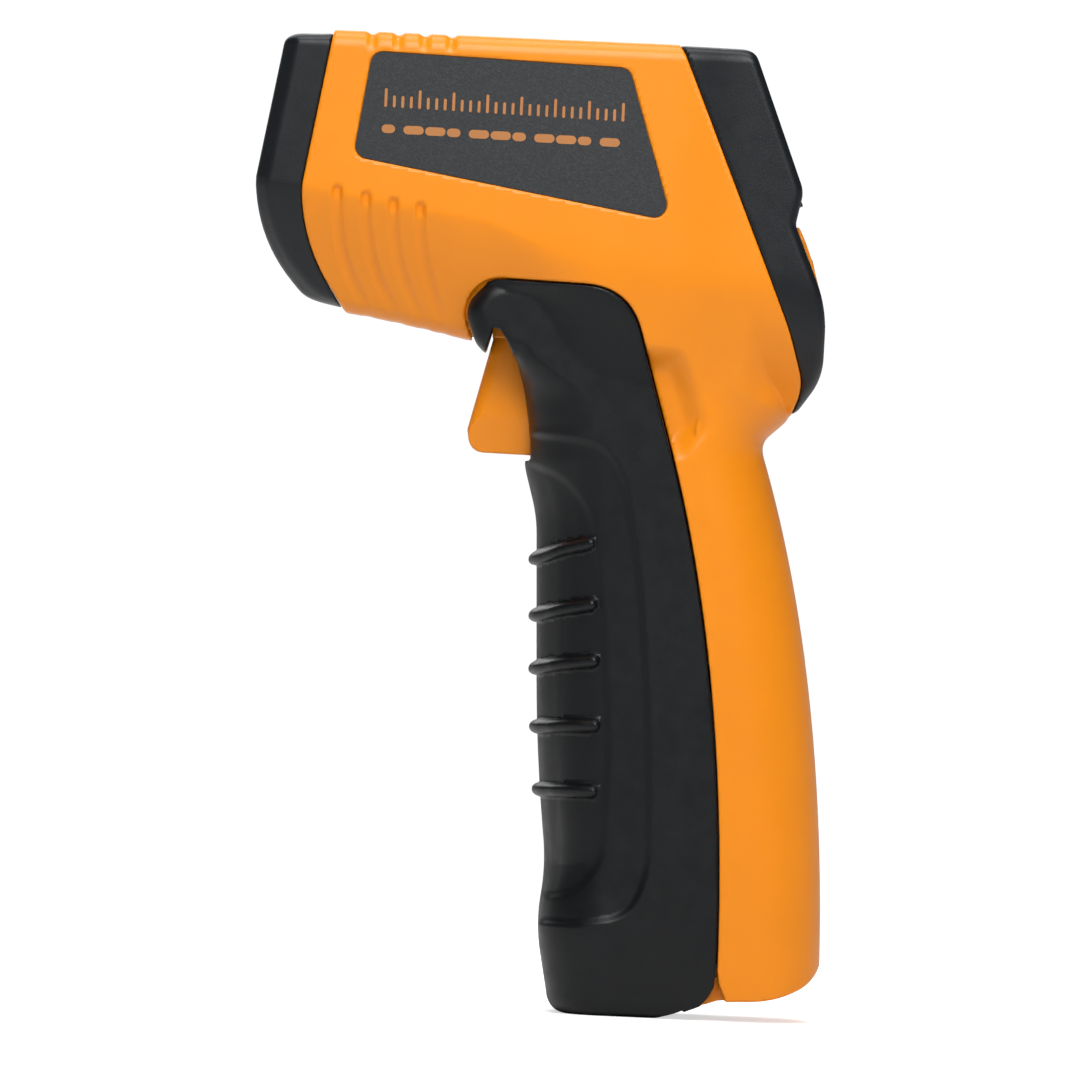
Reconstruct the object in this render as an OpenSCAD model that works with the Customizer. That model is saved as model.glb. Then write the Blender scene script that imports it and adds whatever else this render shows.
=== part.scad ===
// Hand-held infrared thermometer, pistol type.
// Frame: +X is the aiming direction, +Z is up, +Y is the left-hand side.
// Origin: centre of the bounding box in X and Y, at the butt of the grip.

/* [Head] */
// Height of the flat top of the head above the butt
top_z = 172.5; // [170:0.5:176]
// Half width of the head at the label panels
head_hw = 22.5; // [21:0.25:24]
// Half width of the display bezel
bezel_hw = 24.5; // [23.5:0.25:25.5]
// Half width of the flat under the barrel
keel_hw = 9; // [7:0.5:11]
// Corner radius along the top edges of the head
top_r = 3; // [2:0.5:4]

/* [Shell] */
// Wall thickness of the mouldings
wall = 2; // [1.6:0.1:2.4]
// Gap at the seam between two fixed mouldings
seam = 0.1; // [0.05:0.05:0.2]
// Gap around the battery door
door_gap = 0.2; // [0.15:0.05:0.4]

/* [Trigger] */
// Half width of the trigger blade
trigger_hw = 5.4; // [4.5:0.1:5.6]
// Radius of the trigger pin
pin_r = 1.25; // [1:0.05:1.4]
// Running clearance of the trigger on its pin
pin_gap = 0.06; // [0.02:0.01:0.1]

/* [Keys] */
// How far a key stands above the keypad plate
key_proud = 0.15; // [0:0.05:1]
// Clearance around each key
key_gap = 0.25; // [0.15:0.05:0.4]

/* [Optics] */
// Height of the sensor axis
optic_z = 149.5; // [149:0.25:150]
// Radius of the lens hood opening in the nose
hood_r = 12; // [11.5:0.25:12.5]
// Height of the laser axis
laser_z = 165.5; // [165:0.25:166]

/* [Battery] */
// Depth, width and height of the 9 V block
battery_size = [26.5, 17.5, 46.4];

/* [Hidden] */
eps = 0.01;

orange = [1.0, 0.55, 0.1];
black = [0.12, 0.13, 0.14];

// ---- curves of the side view, as [x, z] ----
// Bend that leaves a and reaches b, heading for c on the way
function bend(a, c, b, n = 8) = [for (i = [0:n]) let (t = i / n) a * pow(1 - t, 2) + 2 * c * t * (1 - t) + b * t * t];
// Line through corners [x, z, cut]; a corner is rounded off from cut before it to cut after it
function soft(c, n = 5) = [for (i = [0:len(c) - 1]) let (p = [c[i][0], c[i][1]])
    each (c[i][2] == 0 ? [p] : let (a = [c[i - 1][0], c[i - 1][1]] - p, b = [c[i + 1][0], c[i + 1][1]] - p)
        bend(p + c[i][2] * a / norm(a), p, p + c[i][2] * b / norm(b), n))];

// Seam between the nose and the shells: a lean down to the crease, then a bend back under the barrel
nose_seam = soft([[40.3, 173, 0], [45, 144.2, 2], [44, 134, 8], [36.5, 122.8, 0]]);
// Front of the nose: chamfered brow, straight lean, chin
nose_front = soft([[40.3, 173.2, 0], [48.6, 172.6, 2.6], [53, 146, 0], [53, 144.5, 0], [52, 134.5, 9], [43, 124.4, 3],
    [36.5, 122.2, 0]]);
// Seam between the display bezel and the shells
rear_seam = soft([[-20.6, 173, 0], [-22, 171, 1], [-42.7, 122.5, 3], [-45.6, 113, 3], [-43.2, 106.6, 0]]);
// Back of the bezel: display, waist, keypad bulge
rear_face = soft([[-20.6, 173.2, 0], [-34, 172.6, 2.6], [-43.9, 147.4, 1.5], [-42.7, 141.4, 0.8], [-48.8, 127.2, 5],
    [-48.8, 114.6, 3.5], [-43.2, 106.4, 0]]);
// Seam of the battery door: lobe in front of the trigger, top, and the long bend down the grip
door_seam = concat(soft([[13.1, 118, 0], [15.7, 124.2, 3.5], [12, 130, 3.5], [-14, 129.2, 8], [-21.6, 104, 0]]),
    bend([-21.9, 103], [-34.5, 62], [-34.6, 9], 12));
// Under side of the shells behind the hinge
butt = soft([[-36.4, 3.4, 0], [-45, 3.8, 4], [-51.6, 7, 3], [-53, 10, 0]]);
// Back of the grip up to the web of the thumb
grip_rear = concat([[-53, 0]], bend([-53, 10], [-52, 61.5], [-39.4, 99.5], 14),
    soft([[-39, 101, 0], [-38.8, 102.6, 1.2], [-43.6, 107.4, 2], [-44, 112, 0], [-44, 131, 0]], 3));
// Front of the grip: toe, palm swell, finger stop, and the lobe in front of the trigger
grip_front = concat(soft([[-4.6, 0, 0], [-4.7, 3, 1.5], [-2.2, 15.5, 5], [-3.5, 26, 5], [-1, 46, 14], [0.8, 88, 3], [3.5, 97.5, 2],
    [3, 104, 0]], 4), bend([3.1, 104.5], [3.9, 111], [5.8, 115.9], 4),
    [[11, 116.5], [13.1, 118.6]], soft([[13.75, 120, 0], [15.35, 124.3, 2.2], [12.1, 129.3, 2.4], [4, 131.5, 0], [-8, 132, 0]], 4));

// ---- section widths ----
// Lower crease and bottom line of the barrel, by x
crease_t = [[-50, 130], [-38, 131], [-20, 131.5], [-5, 134], [0, 135], [5, 137], [12, 139.8],
    [24, 141.2], [33, 142.8], [45, 144.7], [55, 145]];
bottom_t = [[-50, 108.2], [-45, 107.4], [-20, 112], [0, 116], [13, 118.7], [22, 120.5],
    [30, 122], [37, 123], [55, 124]];
// Rear, front and half width of the grip, by z
rear_t = [for (p = grip_rear) [p[1], p[0]]];
front_t = [for (p = grip_front) [p[1], p[0]]];
width_t = [[0, 15.4], [1, 16.4], [3, 17.4], [6, 18], [20, 18], [50, 17.4], [80, 17], [100, 17.2],
    [118, 17.6], [131, 17.6]];
front_r_t = [[0, 9], [10, 12], [100, 13], [110, 11], [116, 3.5], [131, 3]];
hinge_at = [-31.6, 4.4];

function smooth(t) = let (c = min(1, max(0, t))) c * c * (3 - 2 * c);
function head_w(x) = head_hw + (bezel_hw - head_hw) * smooth((-21 - x) / 12);

// Half a section of the head at x, from the top edge round to the keel
function head_half(x, t) = let (w = head_w(x) - t, r = max(top_r - t, 0.8), zt = top_z - t,
    zc = lookup(x, crease_t), zb = lookup(x, bottom_t) + t, wb = keel_hw - 0.6 * t)
    concat([for (a = [90:-30:0]) [w - r + r * cos(a), zt - r + r * sin(a)]],
        [for (s = [0:0.2:1]) [wb + (w - wb) * (1 - pow(s, 1.2)), zc - (zc - zb) * s]]);
function head_loop(x, t) = let (h = head_half(x, t), n = len(h))
    concat([for (p = h) [x, p[0], p[1]]], [for (i = [n - 1:-1:0]) [x, -h[i][0], h[i][1]]]);

// A rounded section of the grip at height z
function corner(cx, cy, r, a0) = [for (i = [0:5]) [cx + r * cos(a0 + 18 * i), cy + r * sin(a0 + 18 * i)]];
function grip_loop(z, t) = let (x0 = lookup(z, rear_t) + t, x1 = lookup(z, front_t) - t,
    w = lookup(z, width_t) - t, rf = max(lookup(z, front_r_t) - t, 1), rr = min(13, w - 1) - t)
    [for (p = concat(corner(x1 - rf, w - rf, rf, 0), corner(x0 + rr, w - rr, rr, 90),
        corner(x0 + rr, rr - w, rr, 180), corner(x1 - rf, rf - w, rf, 270))) [p[0], p[1], z]];

// Skin over a list of loops that all have the same number of points
module loft(loops) {
    m = len(loops);
    n = len(loops[0]);
    polyhedron(points = [for (l = loops) for (p = l) p],
        faces = concat([[for (j = [n - 1:-1:0]) j]], [[for (j = [0:n - 1]) (m - 1) * n + j]],
            [for (i = [0:m - 2]) for (j = [0:n - 1]) [i * n + j, i * n + (j + 1) % n, (i + 1) * n + j]],
            [for (i = [0:m - 2]) for (j = [0:n - 1]) [(i + 1) * n + j, i * n + (j + 1) % n, (i + 1) * n + (j + 1) % n]]),
        convexity = 6);
}

head_x = [-50, -45, -38, -33, -30, -27, -24, -21, -12, -5, 0, 5, 13, 24, 37, 55];
grip_z = [0, 1, 3, 6, 10, 16, 20, 25, 32, 40, 48, 56, 64, 72, 80, 88, 92, 96, 99, 102, 104,
    108, 112, 115.9, 116.5, 118.6, 121, 124, 126.4, 128, 129.2, 130, 131];

module head_solid(t) { loft([for (x = head_x) head_loop(x, t)]); }
module grip_solid(t) {
    intersection() {
        loft([for (i = [len(grip_z) - 1:-1:0]) grip_loop(grip_z[i], t)]);
        // the grip's inner space starts one wall above the butt
        translate([-60, -30, t > 0 ? wall : -1]) cube([120, 60, 200]);
    }
}
module envelope(t) {
    head_solid(t);
    grip_solid(t);
}

// A side view outline swept right across the width
module across(points, half = 40) {
    rotate([90, 0, 0]) linear_extrude(2 * half, center = true) polygon(points);
}
function rev(l) = [for (i = [len(l) - 1:-1:0]) l[i]];
function shift(l, dx, dz = 0) = [for (p = l) [p[0] + dx, p[1] + dz]];

// Everything that belongs to the two orange half shells, seen from the side
body_outline = concat([[40.3, 177]], nose_seam, [[36.5, 115], [14, 115]], door_seam,
    [[-35, 6.5]], butt, [[-56, 12], [-56, 106.8]], rev(rear_seam), [[-20.8, 177]]);
door_outline = concat([[12, 115], [30, 112], [30, -5], [-27, -5], [-29.2, 1], [-31.7, 2], [-33.4, 4],
    [-34.4, 6]], rev(door_seam));

// One moulding with a blended skin
module moulding() { resize([0, 0, 0]) children(); }

// Columns for the case screws, as [x, z]
screw_at = [[12, 165], [28, 131], [-29.5, 104.5], [-45.3, 13]];

module half_ribs(column_r) {
    // screw columns
    for (p = screw_at) translate([p[0], 30, p[1]]) rotate([90, 0, 0]) cylinder(r = column_r, h = 29.95, $fn = 24);
    // carrier plates beside the trigger, hung from a web
    translate([0, 9.5, 0]) across([[-13, 102], [-1.6, 102], [-0.8, 110], [0, 116], [2.5, 119.4], [10, 119.4],
        [10, 133.5], [-13, 133.5]], 0.9);
    translate([-13, 8.6, 131.5]) cube([23, 20, 2]);
    // saddles for the sensor tube
    for (x = [25, 35]) translate([x, 0.05, 137]) cube([2, 22, 23.4]);
    // shelf and stops round the battery
    translate([-51, 0.05, 7.6]) cube([38, 12.5, 1.8]);
    for (p = [[20, 9], [48, 11.4]]) translate([-51, 0.05, p[0]]) cube([p[1], 18, 1.8]);
    // wall above the battery, open in front for the leads
    translate([-45, 0.05, 90]) cube([19, 18, 1.8]);
    // hinge lug
    translate([0, 13.2, 0]) across([[-42, 4.4], [-34.9, 3.6], [-33, 2.9], [-31.6, 2.6], [-30.4, 3],
        [-29.9, 4.4], [-30.4, 5.8], [-31.6, 6.4], [-35, 8], [-42, 9.6]], 1.1);
}

module half_shell(side) {
    moulding() difference() {
        union() {
            difference() {
                intersection() {
                    envelope(0);
                    rotate([90, 0, 0]) linear_extrude(80, center = true) offset(delta = -seam) polygon(body_outline);
                }
                intersection() {
                    envelope(wall);
                    translate([-60, -30, 7.5]) cube([120, 60, 200]);
                }
                // shallow seat for the label
                translate([0, side * 22.3, 0]) across(label_points(0.12), 0.3);
            }
            intersection() {
                mirror([0, side < 0 ? 1 : 0, 0]) half_ribs(side < 0 ? 4 : 3);
                envelope(0.8);
            }
        }
        // keep one half
        translate([-100, side > 0 ? -99.95 : -0.05, -10]) cube([200, 100, 200]);
        // round seats and holes
        translate([0, 0, optic_z]) rotate([0, 90, 0]) translate([0, 0, 16]) cylinder(r = 10.6, h = 28, $fn = 48);
        for (p = screw_at) translate([p[0], 0, p[1]]) rotate([90, 0, 0]) {
            cylinder(r = 1.3, h = side > 0 ? 24 : 60, center = true, $fn = 20);
            if (side < 0) translate([0, 0, 7.7]) cylinder(r = 2.9, h = 30, $fn = 24);
        }
        translate([6, 0, 123.5]) rotate([90, 0, 0]) cylinder(r = pin_r + 0.02, h = 24, center = true, $fn = 32);
        translate([hinge_at[0], 0, hinge_at[1]]) rotate([90, 0, 0]) cylinder(r = 1.02, h = 29, center = true, $fn = 24);
        // room behind the door seam for a finger tip
        translate([0, side * 21.2, 0]) across([[-17, 114.5], [-22.7, 114.5], [-25.3, 103.5], [-20, 103]], 4.9);
        // slots that pass the trigger board
        translate([-10.5, -12, 103.5]) cube([1.6, 24, 17]);
    }
}

module body_left() { color(orange) half_shell(1); }
module body_right() { color(orange) half_shell(-1); }

// ---- nose ----
module nose_cap() {
    color(black) moulding() difference() {
        intersection() {
            envelope(0);
            across(concat(nose_front, rev(nose_seam)));
        }
        intersection() {
            envelope(wall);
            across(concat([[20, 177]], shift(nose_front, -2.8), [[20, 118]]));
        }
        translate([38, 0, optic_z]) rotate([0, 90, 0]) cylinder(r = hood_r, h = 20, $fn = 48);
        translate([38, 0, laser_z]) rotate([0, 90, 0]) cylinder(r = 2.6, h = 20, $fn = 24);
    }
}

module lens_hood() {
    color(black) translate([0, 0, optic_z]) rotate([0, 90, 0]) translate([0, 0, 42]) difference() {
        cylinder(r = hood_r - 0.1, h = 8.6, $fn = 64);
        translate([0, 0, 2.4]) cylinder(r1 = 9.2, r2 = 10.9, h = 6.3, $fn = 64);
        translate([0, 0, -1]) cylinder(r = 10.3, h = 3, $fn = 64);
        translate([0, 0, 1]) cylinder(r = 9.2, h = 3, $fn = 64);
    }
}

module fresnel_lens() {
    color([0.9, 0.92, 0.95, 0.7]) translate([42.95, 0, optic_z]) rotate([0, 90, 0]) cylinder(r = 10.2, h = 1, $fn = 64);
}

module lens_ring() {
    color(black) translate([41.75, 0, optic_z]) rotate([0, 90, 0]) difference() {
        cylinder(r = 10.2, h = 1.15, $fn = 64);
        translate([0, 0, -1]) cylinder(r = 8.8, h = 4, $fn = 64);
    }
}

module laser_window() {
    color([0.8, 0.85, 0.9, 0.5]) translate([47.5, 0, laser_z]) rotate([0, 90, 0]) cylinder(r = 2.5, h = 0.8, $fn = 32);
}

// ---- optics inside the barrel ----
module sensor_tube() {
    color([0.25, 0.25, 0.27]) translate([18, 0, optic_z]) rotate([0, 90, 0]) difference() {
        union() {
            cylinder(r = 10.5, h = 23.7, $fn = 64);
            for (y = [-8, 8]) translate([0, y, -3.2]) cylinder(r = 1.7, h = 4, $fn = 24);
        }
        translate([0, 0, 2]) cylinder(r = 9, h = 30, $fn = 64);
        translate([0, 0, -1]) cylinder(r = 4.25, h = 5, $fn = 48);
    }
}

module thermopile() {
    color([0.8, 0.8, 0.82]) translate([17.3, 0, optic_z]) rotate([0, 90, 0]) {
        difference() {
            union() {
                cylinder(r = 4.7, h = 0.65, $fn = 48);
                cylinder(r = 4.15, h = 5, $fn = 48);
            }
            translate([0, 0, 4.6]) cylinder(r = 2.2, h = 1, $fn = 32);
        }
        for (a = [45:90:315]) rotate([0, 0, a]) translate([2.6, 0, -4.6]) cylinder(r = 0.25, h = 4.7, $fn = 16);
    }
}

module sensor_board() {
    color([0.1, 0.4, 0.2]) difference() {
        translate([13.5, -10, 139.5]) cube([1.2, 20, 20]);
        translate([12, 0, optic_z]) rotate([0, 90, 0])
            for (a = [45:90:315]) rotate([0, 0, a]) translate([2.6, 0, 0]) cylinder(r = 0.35, h = 4, $fn = 16);
    }
}

module sensor_ribbon() {
    color([0.85, 0.85, 0.8]) translate([0, 0, 0]) rotate([90, 0, 0]) linear_extrude(8, center = true)
        polygon([[13.4, 143], [13.4, 143.5], [4, 143.5], [-8, 150.5], [-25.6, 150.5], [-25.6, 150], [-8.3, 150], [3.8, 143]]);
}

module laser_module() {
    color([0.8, 0.62, 0.3]) translate([30, 0, laser_z]) rotate([0, 90, 0]) difference() {
        union() {
            cylinder(r = 3, h = 14, $fn = 48);
            translate([0, 0, -1.2]) cylinder(r = 2.4, h = 2, $fn = 32);
        }
        translate([0, 0, 12]) cylinder(r = 1.2, h = 4, $fn = 32);
    }
}

module laser_holder() {
    color([0.2, 0.2, 0.22]) difference() {
        translate([33, -5, 161]) cube([6, 10, 9.2]);
        translate([30, 0, laser_z]) rotate([0, 90, 0]) cylinder(r = 3.03, h = 14, $fn = 48);
    }
}

// A round wire swept along points in a plane of constant y
module wire(path, y, r) {
    n = len(path);
    function dir(i) = let (a = path[max(i - 1, 0)], b = path[min(i + 1, n - 1)], d = b - a) d / norm(d);
    loft([for (i = [0:n - 1]) let (d = dir(i))
        [for (k = [0:7]) [path[i][0] - d[1] * r * cos(45 * k), y + r * sin(45 * k), path[i][1] + d[0] * r * cos(45 * k)]]]);
}

laser_route = [[28.7, 165.5], [25, 165.8], [20, 167.6], [14, 169.9], [8, 169.9], [0, 168.4], [-10, 165], [-17.6, 160.4]];
module laser_lead_plus() { color([0.8, 0.1, 0.1]) wire(laser_route, 1.2, 0.5); }
module laser_lead_minus() { color([0.1, 0.1, 0.1]) wire(laser_route, -1.2, 0.5); }

// ---- display and keypad, built on a frame that leans with the rear seam ----
module rear_frame() { translate([-34, 0, 144]) rotate([0, 23, 0]) children(); }
module key_frame() { rear_frame() translate([-6.3, 0, -17]) rotate([0, -8.8, 0]) children(); }

// Rounded plate outline of the keypad
module keypad_shape(grow = 0) {
    offset(r = 3 + grow, $fn = 32) polygon([[-9.5, 8], [9.5, 8], [7.5, -8], [-7.5, -8]]);
}
key_at = [[6, 2.6], [-6, 2.6], [0, -5.1]];
key_len = [3, 3, 3.6];
// Oval key section with its long side across the body
module key_shape(i, grow = 0) {
    r = 2.8 + grow;
    translate([-key_len[i] / 2, -r]) square([key_len[i], 2 * r]);
    for (s = [-1, 1]) translate([s * key_len[i] / 2, 0]) circle(r = r, $fn = 48);
}
// Turns a drawing of (y, z) into a plate that grows along the key axis from depth d
module facing(d, h) { translate([d, 0, 0]) rotate([90, 0, 90]) linear_extrude(h) children(); }

module rear_bezel() {
    color(black) moulding() difference() {
        union() {
            difference() {
                intersection() {
                    envelope(0);
                    across(concat(rear_face, rev(rear_seam)));
                }
                intersection() {
                    envelope(wall);
                    across(concat([[0, 177]], shift(rear_face, 2.3), [[-30, 107], [0, 107]]));
                }
            }
            // posts for the main board
            rear_frame() for (y = [-18.7, 18.7], z = [-1, 19]) translate([-9.5, y, z]) rotate([0, 90, 0]) cylinder(r = 2.1, h = 10.9, $fn = 20);
        }
        rear_frame() {
            translate([-14, -14.3, 4]) cube([8, 28.6, 16]);
            translate([-14, -16.1, 2.4]) cube([4.75, 32.2, 19.2]);
            for (y = [-18.7, 18.7], z = [-1, 19]) translate([-5, y, z]) rotate([0, 90, 0]) cylinder(r = 0.95, h = 12, $fn = 16);
        }
        key_frame() {
            facing(-5, 5.95) keypad_shape(0.1);
            for (i = [0:2]) translate([0, key_at[i][0], key_at[i][1]]) facing(-5, 10) key_shape(i, key_gap);
        }
    }
}

module display_window() {
    color([0.6, 0.65, 0.7, 0.4]) rear_frame() translate([-10.2, -16, 2.5]) cube([0.9, 32, 19]);
}

module keypad_plate() {
    color(orange) key_frame() difference() {
        intersection() {
            facing(-2, 2.85) keypad_shape(0);
            translate([49.5, 20, 0]) rotate([90, 0, 0]) cylinder(r = 50.5, h = 40, $fn = 128);
        }
        for (i = [0:2]) translate([0, key_at[i][0], key_at[i][1]]) facing(-4, 8) key_shape(i, key_gap);
    }
}

key_end = [4.8, 4.8, 3.6];
module key(i) {
    color([0.2, 0.21, 0.23]) key_frame() translate([0, key_at[i][0], key_at[i][1]]) {
        facing(-1 - key_proud, 3.45 + key_proud) key_shape(i);
        facing(2.4, 0.7) key_shape(i, 0.8);
        translate([3, 0, 0]) rotate([0, 90, 0]) cylinder(r = 1.4, h = key_end[i] - 3, $fn = 32);
    }
}
module key_left() { key(0); }
module key_right() { key(1); }
module key_centre() { key(2); }

module main_board() {
    color([0.08, 0.38, 0.2]) rear_frame() difference() {
        facing(1.5, 1.6) polygon([[-20.2, 23], [20.2, 23], [20.2, -4], [12.5, -28], [-12.5, -28], [-20.2, -4]]);
        for (y = [-18.7, 18.7], z = [-1, 19]) translate([0, y, z]) rotate([0, 90, 0]) cylinder(r = 1.15, h = 6, $fn = 32);
    }
}

module board_screws() {
    color([0.7, 0.7, 0.72]) rear_frame() for (y = [-18.7, 18.7], z = [-1, 19]) translate([3.12, y, z]) rotate([0, 90, 0]) difference() {
        union() {
            cylinder(r = 2, h = 1.3, $fn = 32);
            translate([0, 0, -7]) cylinder(r = 0.9, h = 7.1, $fn = 32);
        }
        for (a = [0, 90]) rotate([0, 0, a]) translate([-1.2, -0.25, 0.6]) cube([2.4, 0.5, 2]);
    }
}

module lcd_glass() {
    color([0.55, 0.62, 0.5]) rear_frame() translate([-7.9, -14.6, 2.6]) cube([2.2, 29.2, 18.6]);
}
module lcd_backlight() {
    color([0.95, 0.95, 0.9]) rear_frame() translate([-5.6, -14.4, 5.6]) cube([2.6, 28.8, 12.6]);
}
module lcd_frame() {
    color([0.2, 0.2, 0.22]) rear_frame() difference() {
        translate([-8, -16.2, 1.2]) cube([9.4, 32.4, 21.4]);
        translate([-9, -14.7, 2.5]) cube([12, 29.4, 18.8]);
    }
}
module contact_strips() {
    color([0.35, 0.35, 0.38]) rear_frame() for (z = [2.7, 18.7]) translate([-5.6, -14, z]) cube([7, 28, 2.4]);
}
module key_switches() {
    color([0.15, 0.15, 0.15]) key_frame() for (i = [0:2]) translate([0, key_at[i][0], key_at[i][1]]) rotate([0, 8.8, 0])
        translate([[7.66, 7.66, 6.46][i], 0, 0]) {
            translate([-1.5, -3, -3]) cube([2, 6, 6]);
            translate([-2.1, 0, 0]) rotate([0, 90, 0]) cylinder(r = 1.7, h = 0.7, $fn = 32);
        }
}
module microcontroller() {
    color([0.1, 0.1, 0.1]) rear_frame() {
        translate([3.3, -6, -1]) cube([1.5, 12, 12]);
        for (s = [-1, 1], i = [0:9]) translate([3.13, s * 6.9 - 0.9, i * 1.1 - 0.2]) cube([0.4, 1.8, 0.4]);
    }
}
module buzzer() {
    color([0.12, 0.12, 0.12]) rear_frame() translate([3.15, 0, -12]) rotate([0, 90, 0]) difference() {
        cylinder(r = 6, h = 5, $fn = 64);
        translate([0, 0, 4]) cylinder(r = 1, h = 2, $fn = 32);
    }
}

// ---- trigger ----
module trigger() {
    color(orange) difference() {
        union() {
            across(soft([[9, 122, 0], [9.6, 120.4, 0], [13.8, 103, 0], [13.2, 99, 2.6], [-1.5, 98.8, 1], [-1.5, 114, 2],
                [2, 120, 2], [2.8, 122, 0]]), trigger_hw);
            translate([6, 0, 123.5]) rotate([90, 0, 0]) cylinder(r = 3.6, h = 2 * trigger_hw, center = true, $fn = 64);
        }
        translate([6, 0, 123.5]) rotate([90, 0, 0]) cylinder(r = pin_r + pin_gap, h = 20, center = true, $fn = 64);
        // moulded pocket in the back of the blade
        across([[0.6, 101.5], [2, 101.5], [2, 112], [0.6, 112], [-3, 112], [-3, 101.5]], 3.4);
    }
}
module trigger_pin() {
    color([0.75, 0.75, 0.77]) translate([6, 0, 123.5]) rotate([90, 0, 0]) cylinder(r = pin_r, h = 21, center = true, $fn = 64);
}
// Torsion spring beside the hub: a coil of wire on the pin with two straight legs
spring_turns = 3.5;
function coil_point(a) = [2.3 * cos(a), 2.3 * sin(a), 6 + 0.62 * a / 360];
spring_path = concat([[2.3, -4.5, 5.98]], [for (i = [0:12 * spring_turns]) coil_point(30 * i)],
    [[-2.3, -5.5, 6 + 0.62 * spring_turns + 0.02]]);
module trigger_spring() {
    n = len(spring_path);
    color([0.8, 0.8, 0.82]) translate([6, 0, 123.5]) rotate([-90, 0, 0])
        loft([for (i = [0:n - 1]) let (a = spring_path[max(i - 1, 0)], b = spring_path[min(i + 1, n - 1)],
            d = (b - a) / norm(b - a), u = cross([0, 0, 1], d) / norm(cross([0, 0, 1], d)), w = cross(d, u))
            [for (k = [0:7]) spring_path[i] + 0.28 * (u * cos(45 * k) - w * sin(45 * k))]]);
}
module trigger_switch() {
    color([0.15, 0.15, 0.16]) {
        translate([-8.85, -3.2, 107.5]) cube([4.6, 6.4, 6.4]);
        translate([-4.3, 0, 110.7]) rotate([0, 90, 0]) cylinder(r = 1.5, h = 1.0, $fn = 32);
    }
}
module trigger_board() {
    color([0.1, 0.4, 0.2]) translate([-10.3, -10.2, 103.7]) cube([1.4, 20.4, 16.5]);
}

// ---- battery door ----
module battery_door() {
    color(black) moulding() difference() {
        union() {
            difference() {
                intersection() {
                    envelope(0);
                    rotate([90, 0, 0]) linear_extrude(80, center = true) offset(delta = -door_gap) polygon(door_outline);
                }
                envelope(wall);
            }
            // finger ribs
            for (p = [[80.5, 0.6], [70.5, 0.3], [61, -0.2], [50.5, -0.9], [39.3, -1.8]]) intersection() {
                translate([p[1] - 0.7, 0, p[0]]) rotate([90, 0, 0]) cylinder(r = 1.7, h = 14, center = true, $fn = 20);
                translate([-10, -8, 0]) cube([20, 16, 100]);
            }
            // hinge knuckles
            for (s = [-1, 1]) translate([0, s * 7.5, 0]) across([[-33.6, 4], [-33.2, 5.8], [-31.6, 6.6], [-30, 6],
                [-28.6, 4], [-28, 1.8], [-29.2, 1.2], [-31.7, 2.2], [-33.2, 3.2]], 3.5);
        }
        // rounded front corner of the foot
        across(concat([[3, -2], [-9.2, -2]], bend([-9.2, 0], [-5.2, 0.1], [-4.2, 5.1], 8), [[3, 5.1]]));
        // mouth that lets the trigger through, and the notch round its blade
        across(concat([[20, 98.2], [20, 115.8], [11.3, 116.1], [10, 121], [8.6, 120.8]],
            bend([8.4, 120.6], [3.4, 113], [2.4, 98.2], 8)), 30);
        translate([-3, -5.8, 97.9]) cube([13.9, 11.6, 23]);
        // the barrel's keel passes through here as the door opens
        keel_path();
        // reliefs for the hinge lugs and the hinge pin
        for (s = [-1, 1]) translate([-40, s * 13.2 - 1.5, -1]) cube([9.6, 3, 9.4]);
        translate([hinge_at[0], 0, hinge_at[1]]) rotate([90, 0, 0]) cylinder(r = 1.08, h = 24, center = true, $fn = 24);
    }
}
// Space swept by the under side of the barrel, in the door's frame
module keel_path() {
    h = head_half(14.5, -0.45);
    pts = concat([for (p = h) p], [for (i = [len(h) - 1:-1:0]) [-h[i][0], h[i][1]]]);
    multmatrix([[1, 0, 0, 0], [0, 1, 0, 0], [-0.38, 0, 1, 0.38 * 14.5], [0, 0, 0, 1]])
        translate([-20, 0, -0.6]) rotate([90, 0, 90]) linear_extrude(35) polygon(pts);
}
module door_hinge_pin() {
    color([0.75, 0.75, 0.77]) translate([hinge_at[0], 0, hinge_at[1]]) rotate([90, 0, 0]) cylinder(r = 1, h = 28.4, center = true, $fn = 48);
}

// ---- labels ----
// Rounded corner between three points, as a short fan
function fillet(a, b, c, r) = let (u = (a - b) / norm(a - b), v = (c - b) / norm(c - b),
    h = acos(u * v) / 2, m = (u + v) / norm(u + v), o = b + m * r / sin(h),
    t0 = b + u * r / tan(h), t1 = b + v * r / tan(h),
    a0 = atan2(t0[1] - o[1], t0[0] - o[0]), d0 = atan2(t1[1] - o[1], t1[0] - o[0]) - a0,
    d = d0 > 180 ? d0 - 360 : d0 < -180 ? d0 + 360 : d0)
    [for (i = [0:5]) o + r * [cos(a0 + d * i / 5), sin(a0 + d * i / 5)]];
function label_points(g) = let (c = [[33.3 + g, 168.9 + g], [-12.2 - g * 0.9, 167.8 + g], [-20.8 - g, 141.2 - g * 1.2], [35.9 + g, 150.3 - g]])
    [for (i = [0:3]) for (p = fillet(c[(i + 3) % 4], c[i], c[(i + 1) % 4], 2.2)) p];
module label(side) { color([0.16, 0.16, 0.17]) translate([0, side * 22.23, 0]) across(label_points(0), 0.2); }
module label_left() { label(1); }
module label_right() { label(-1); }

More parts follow.
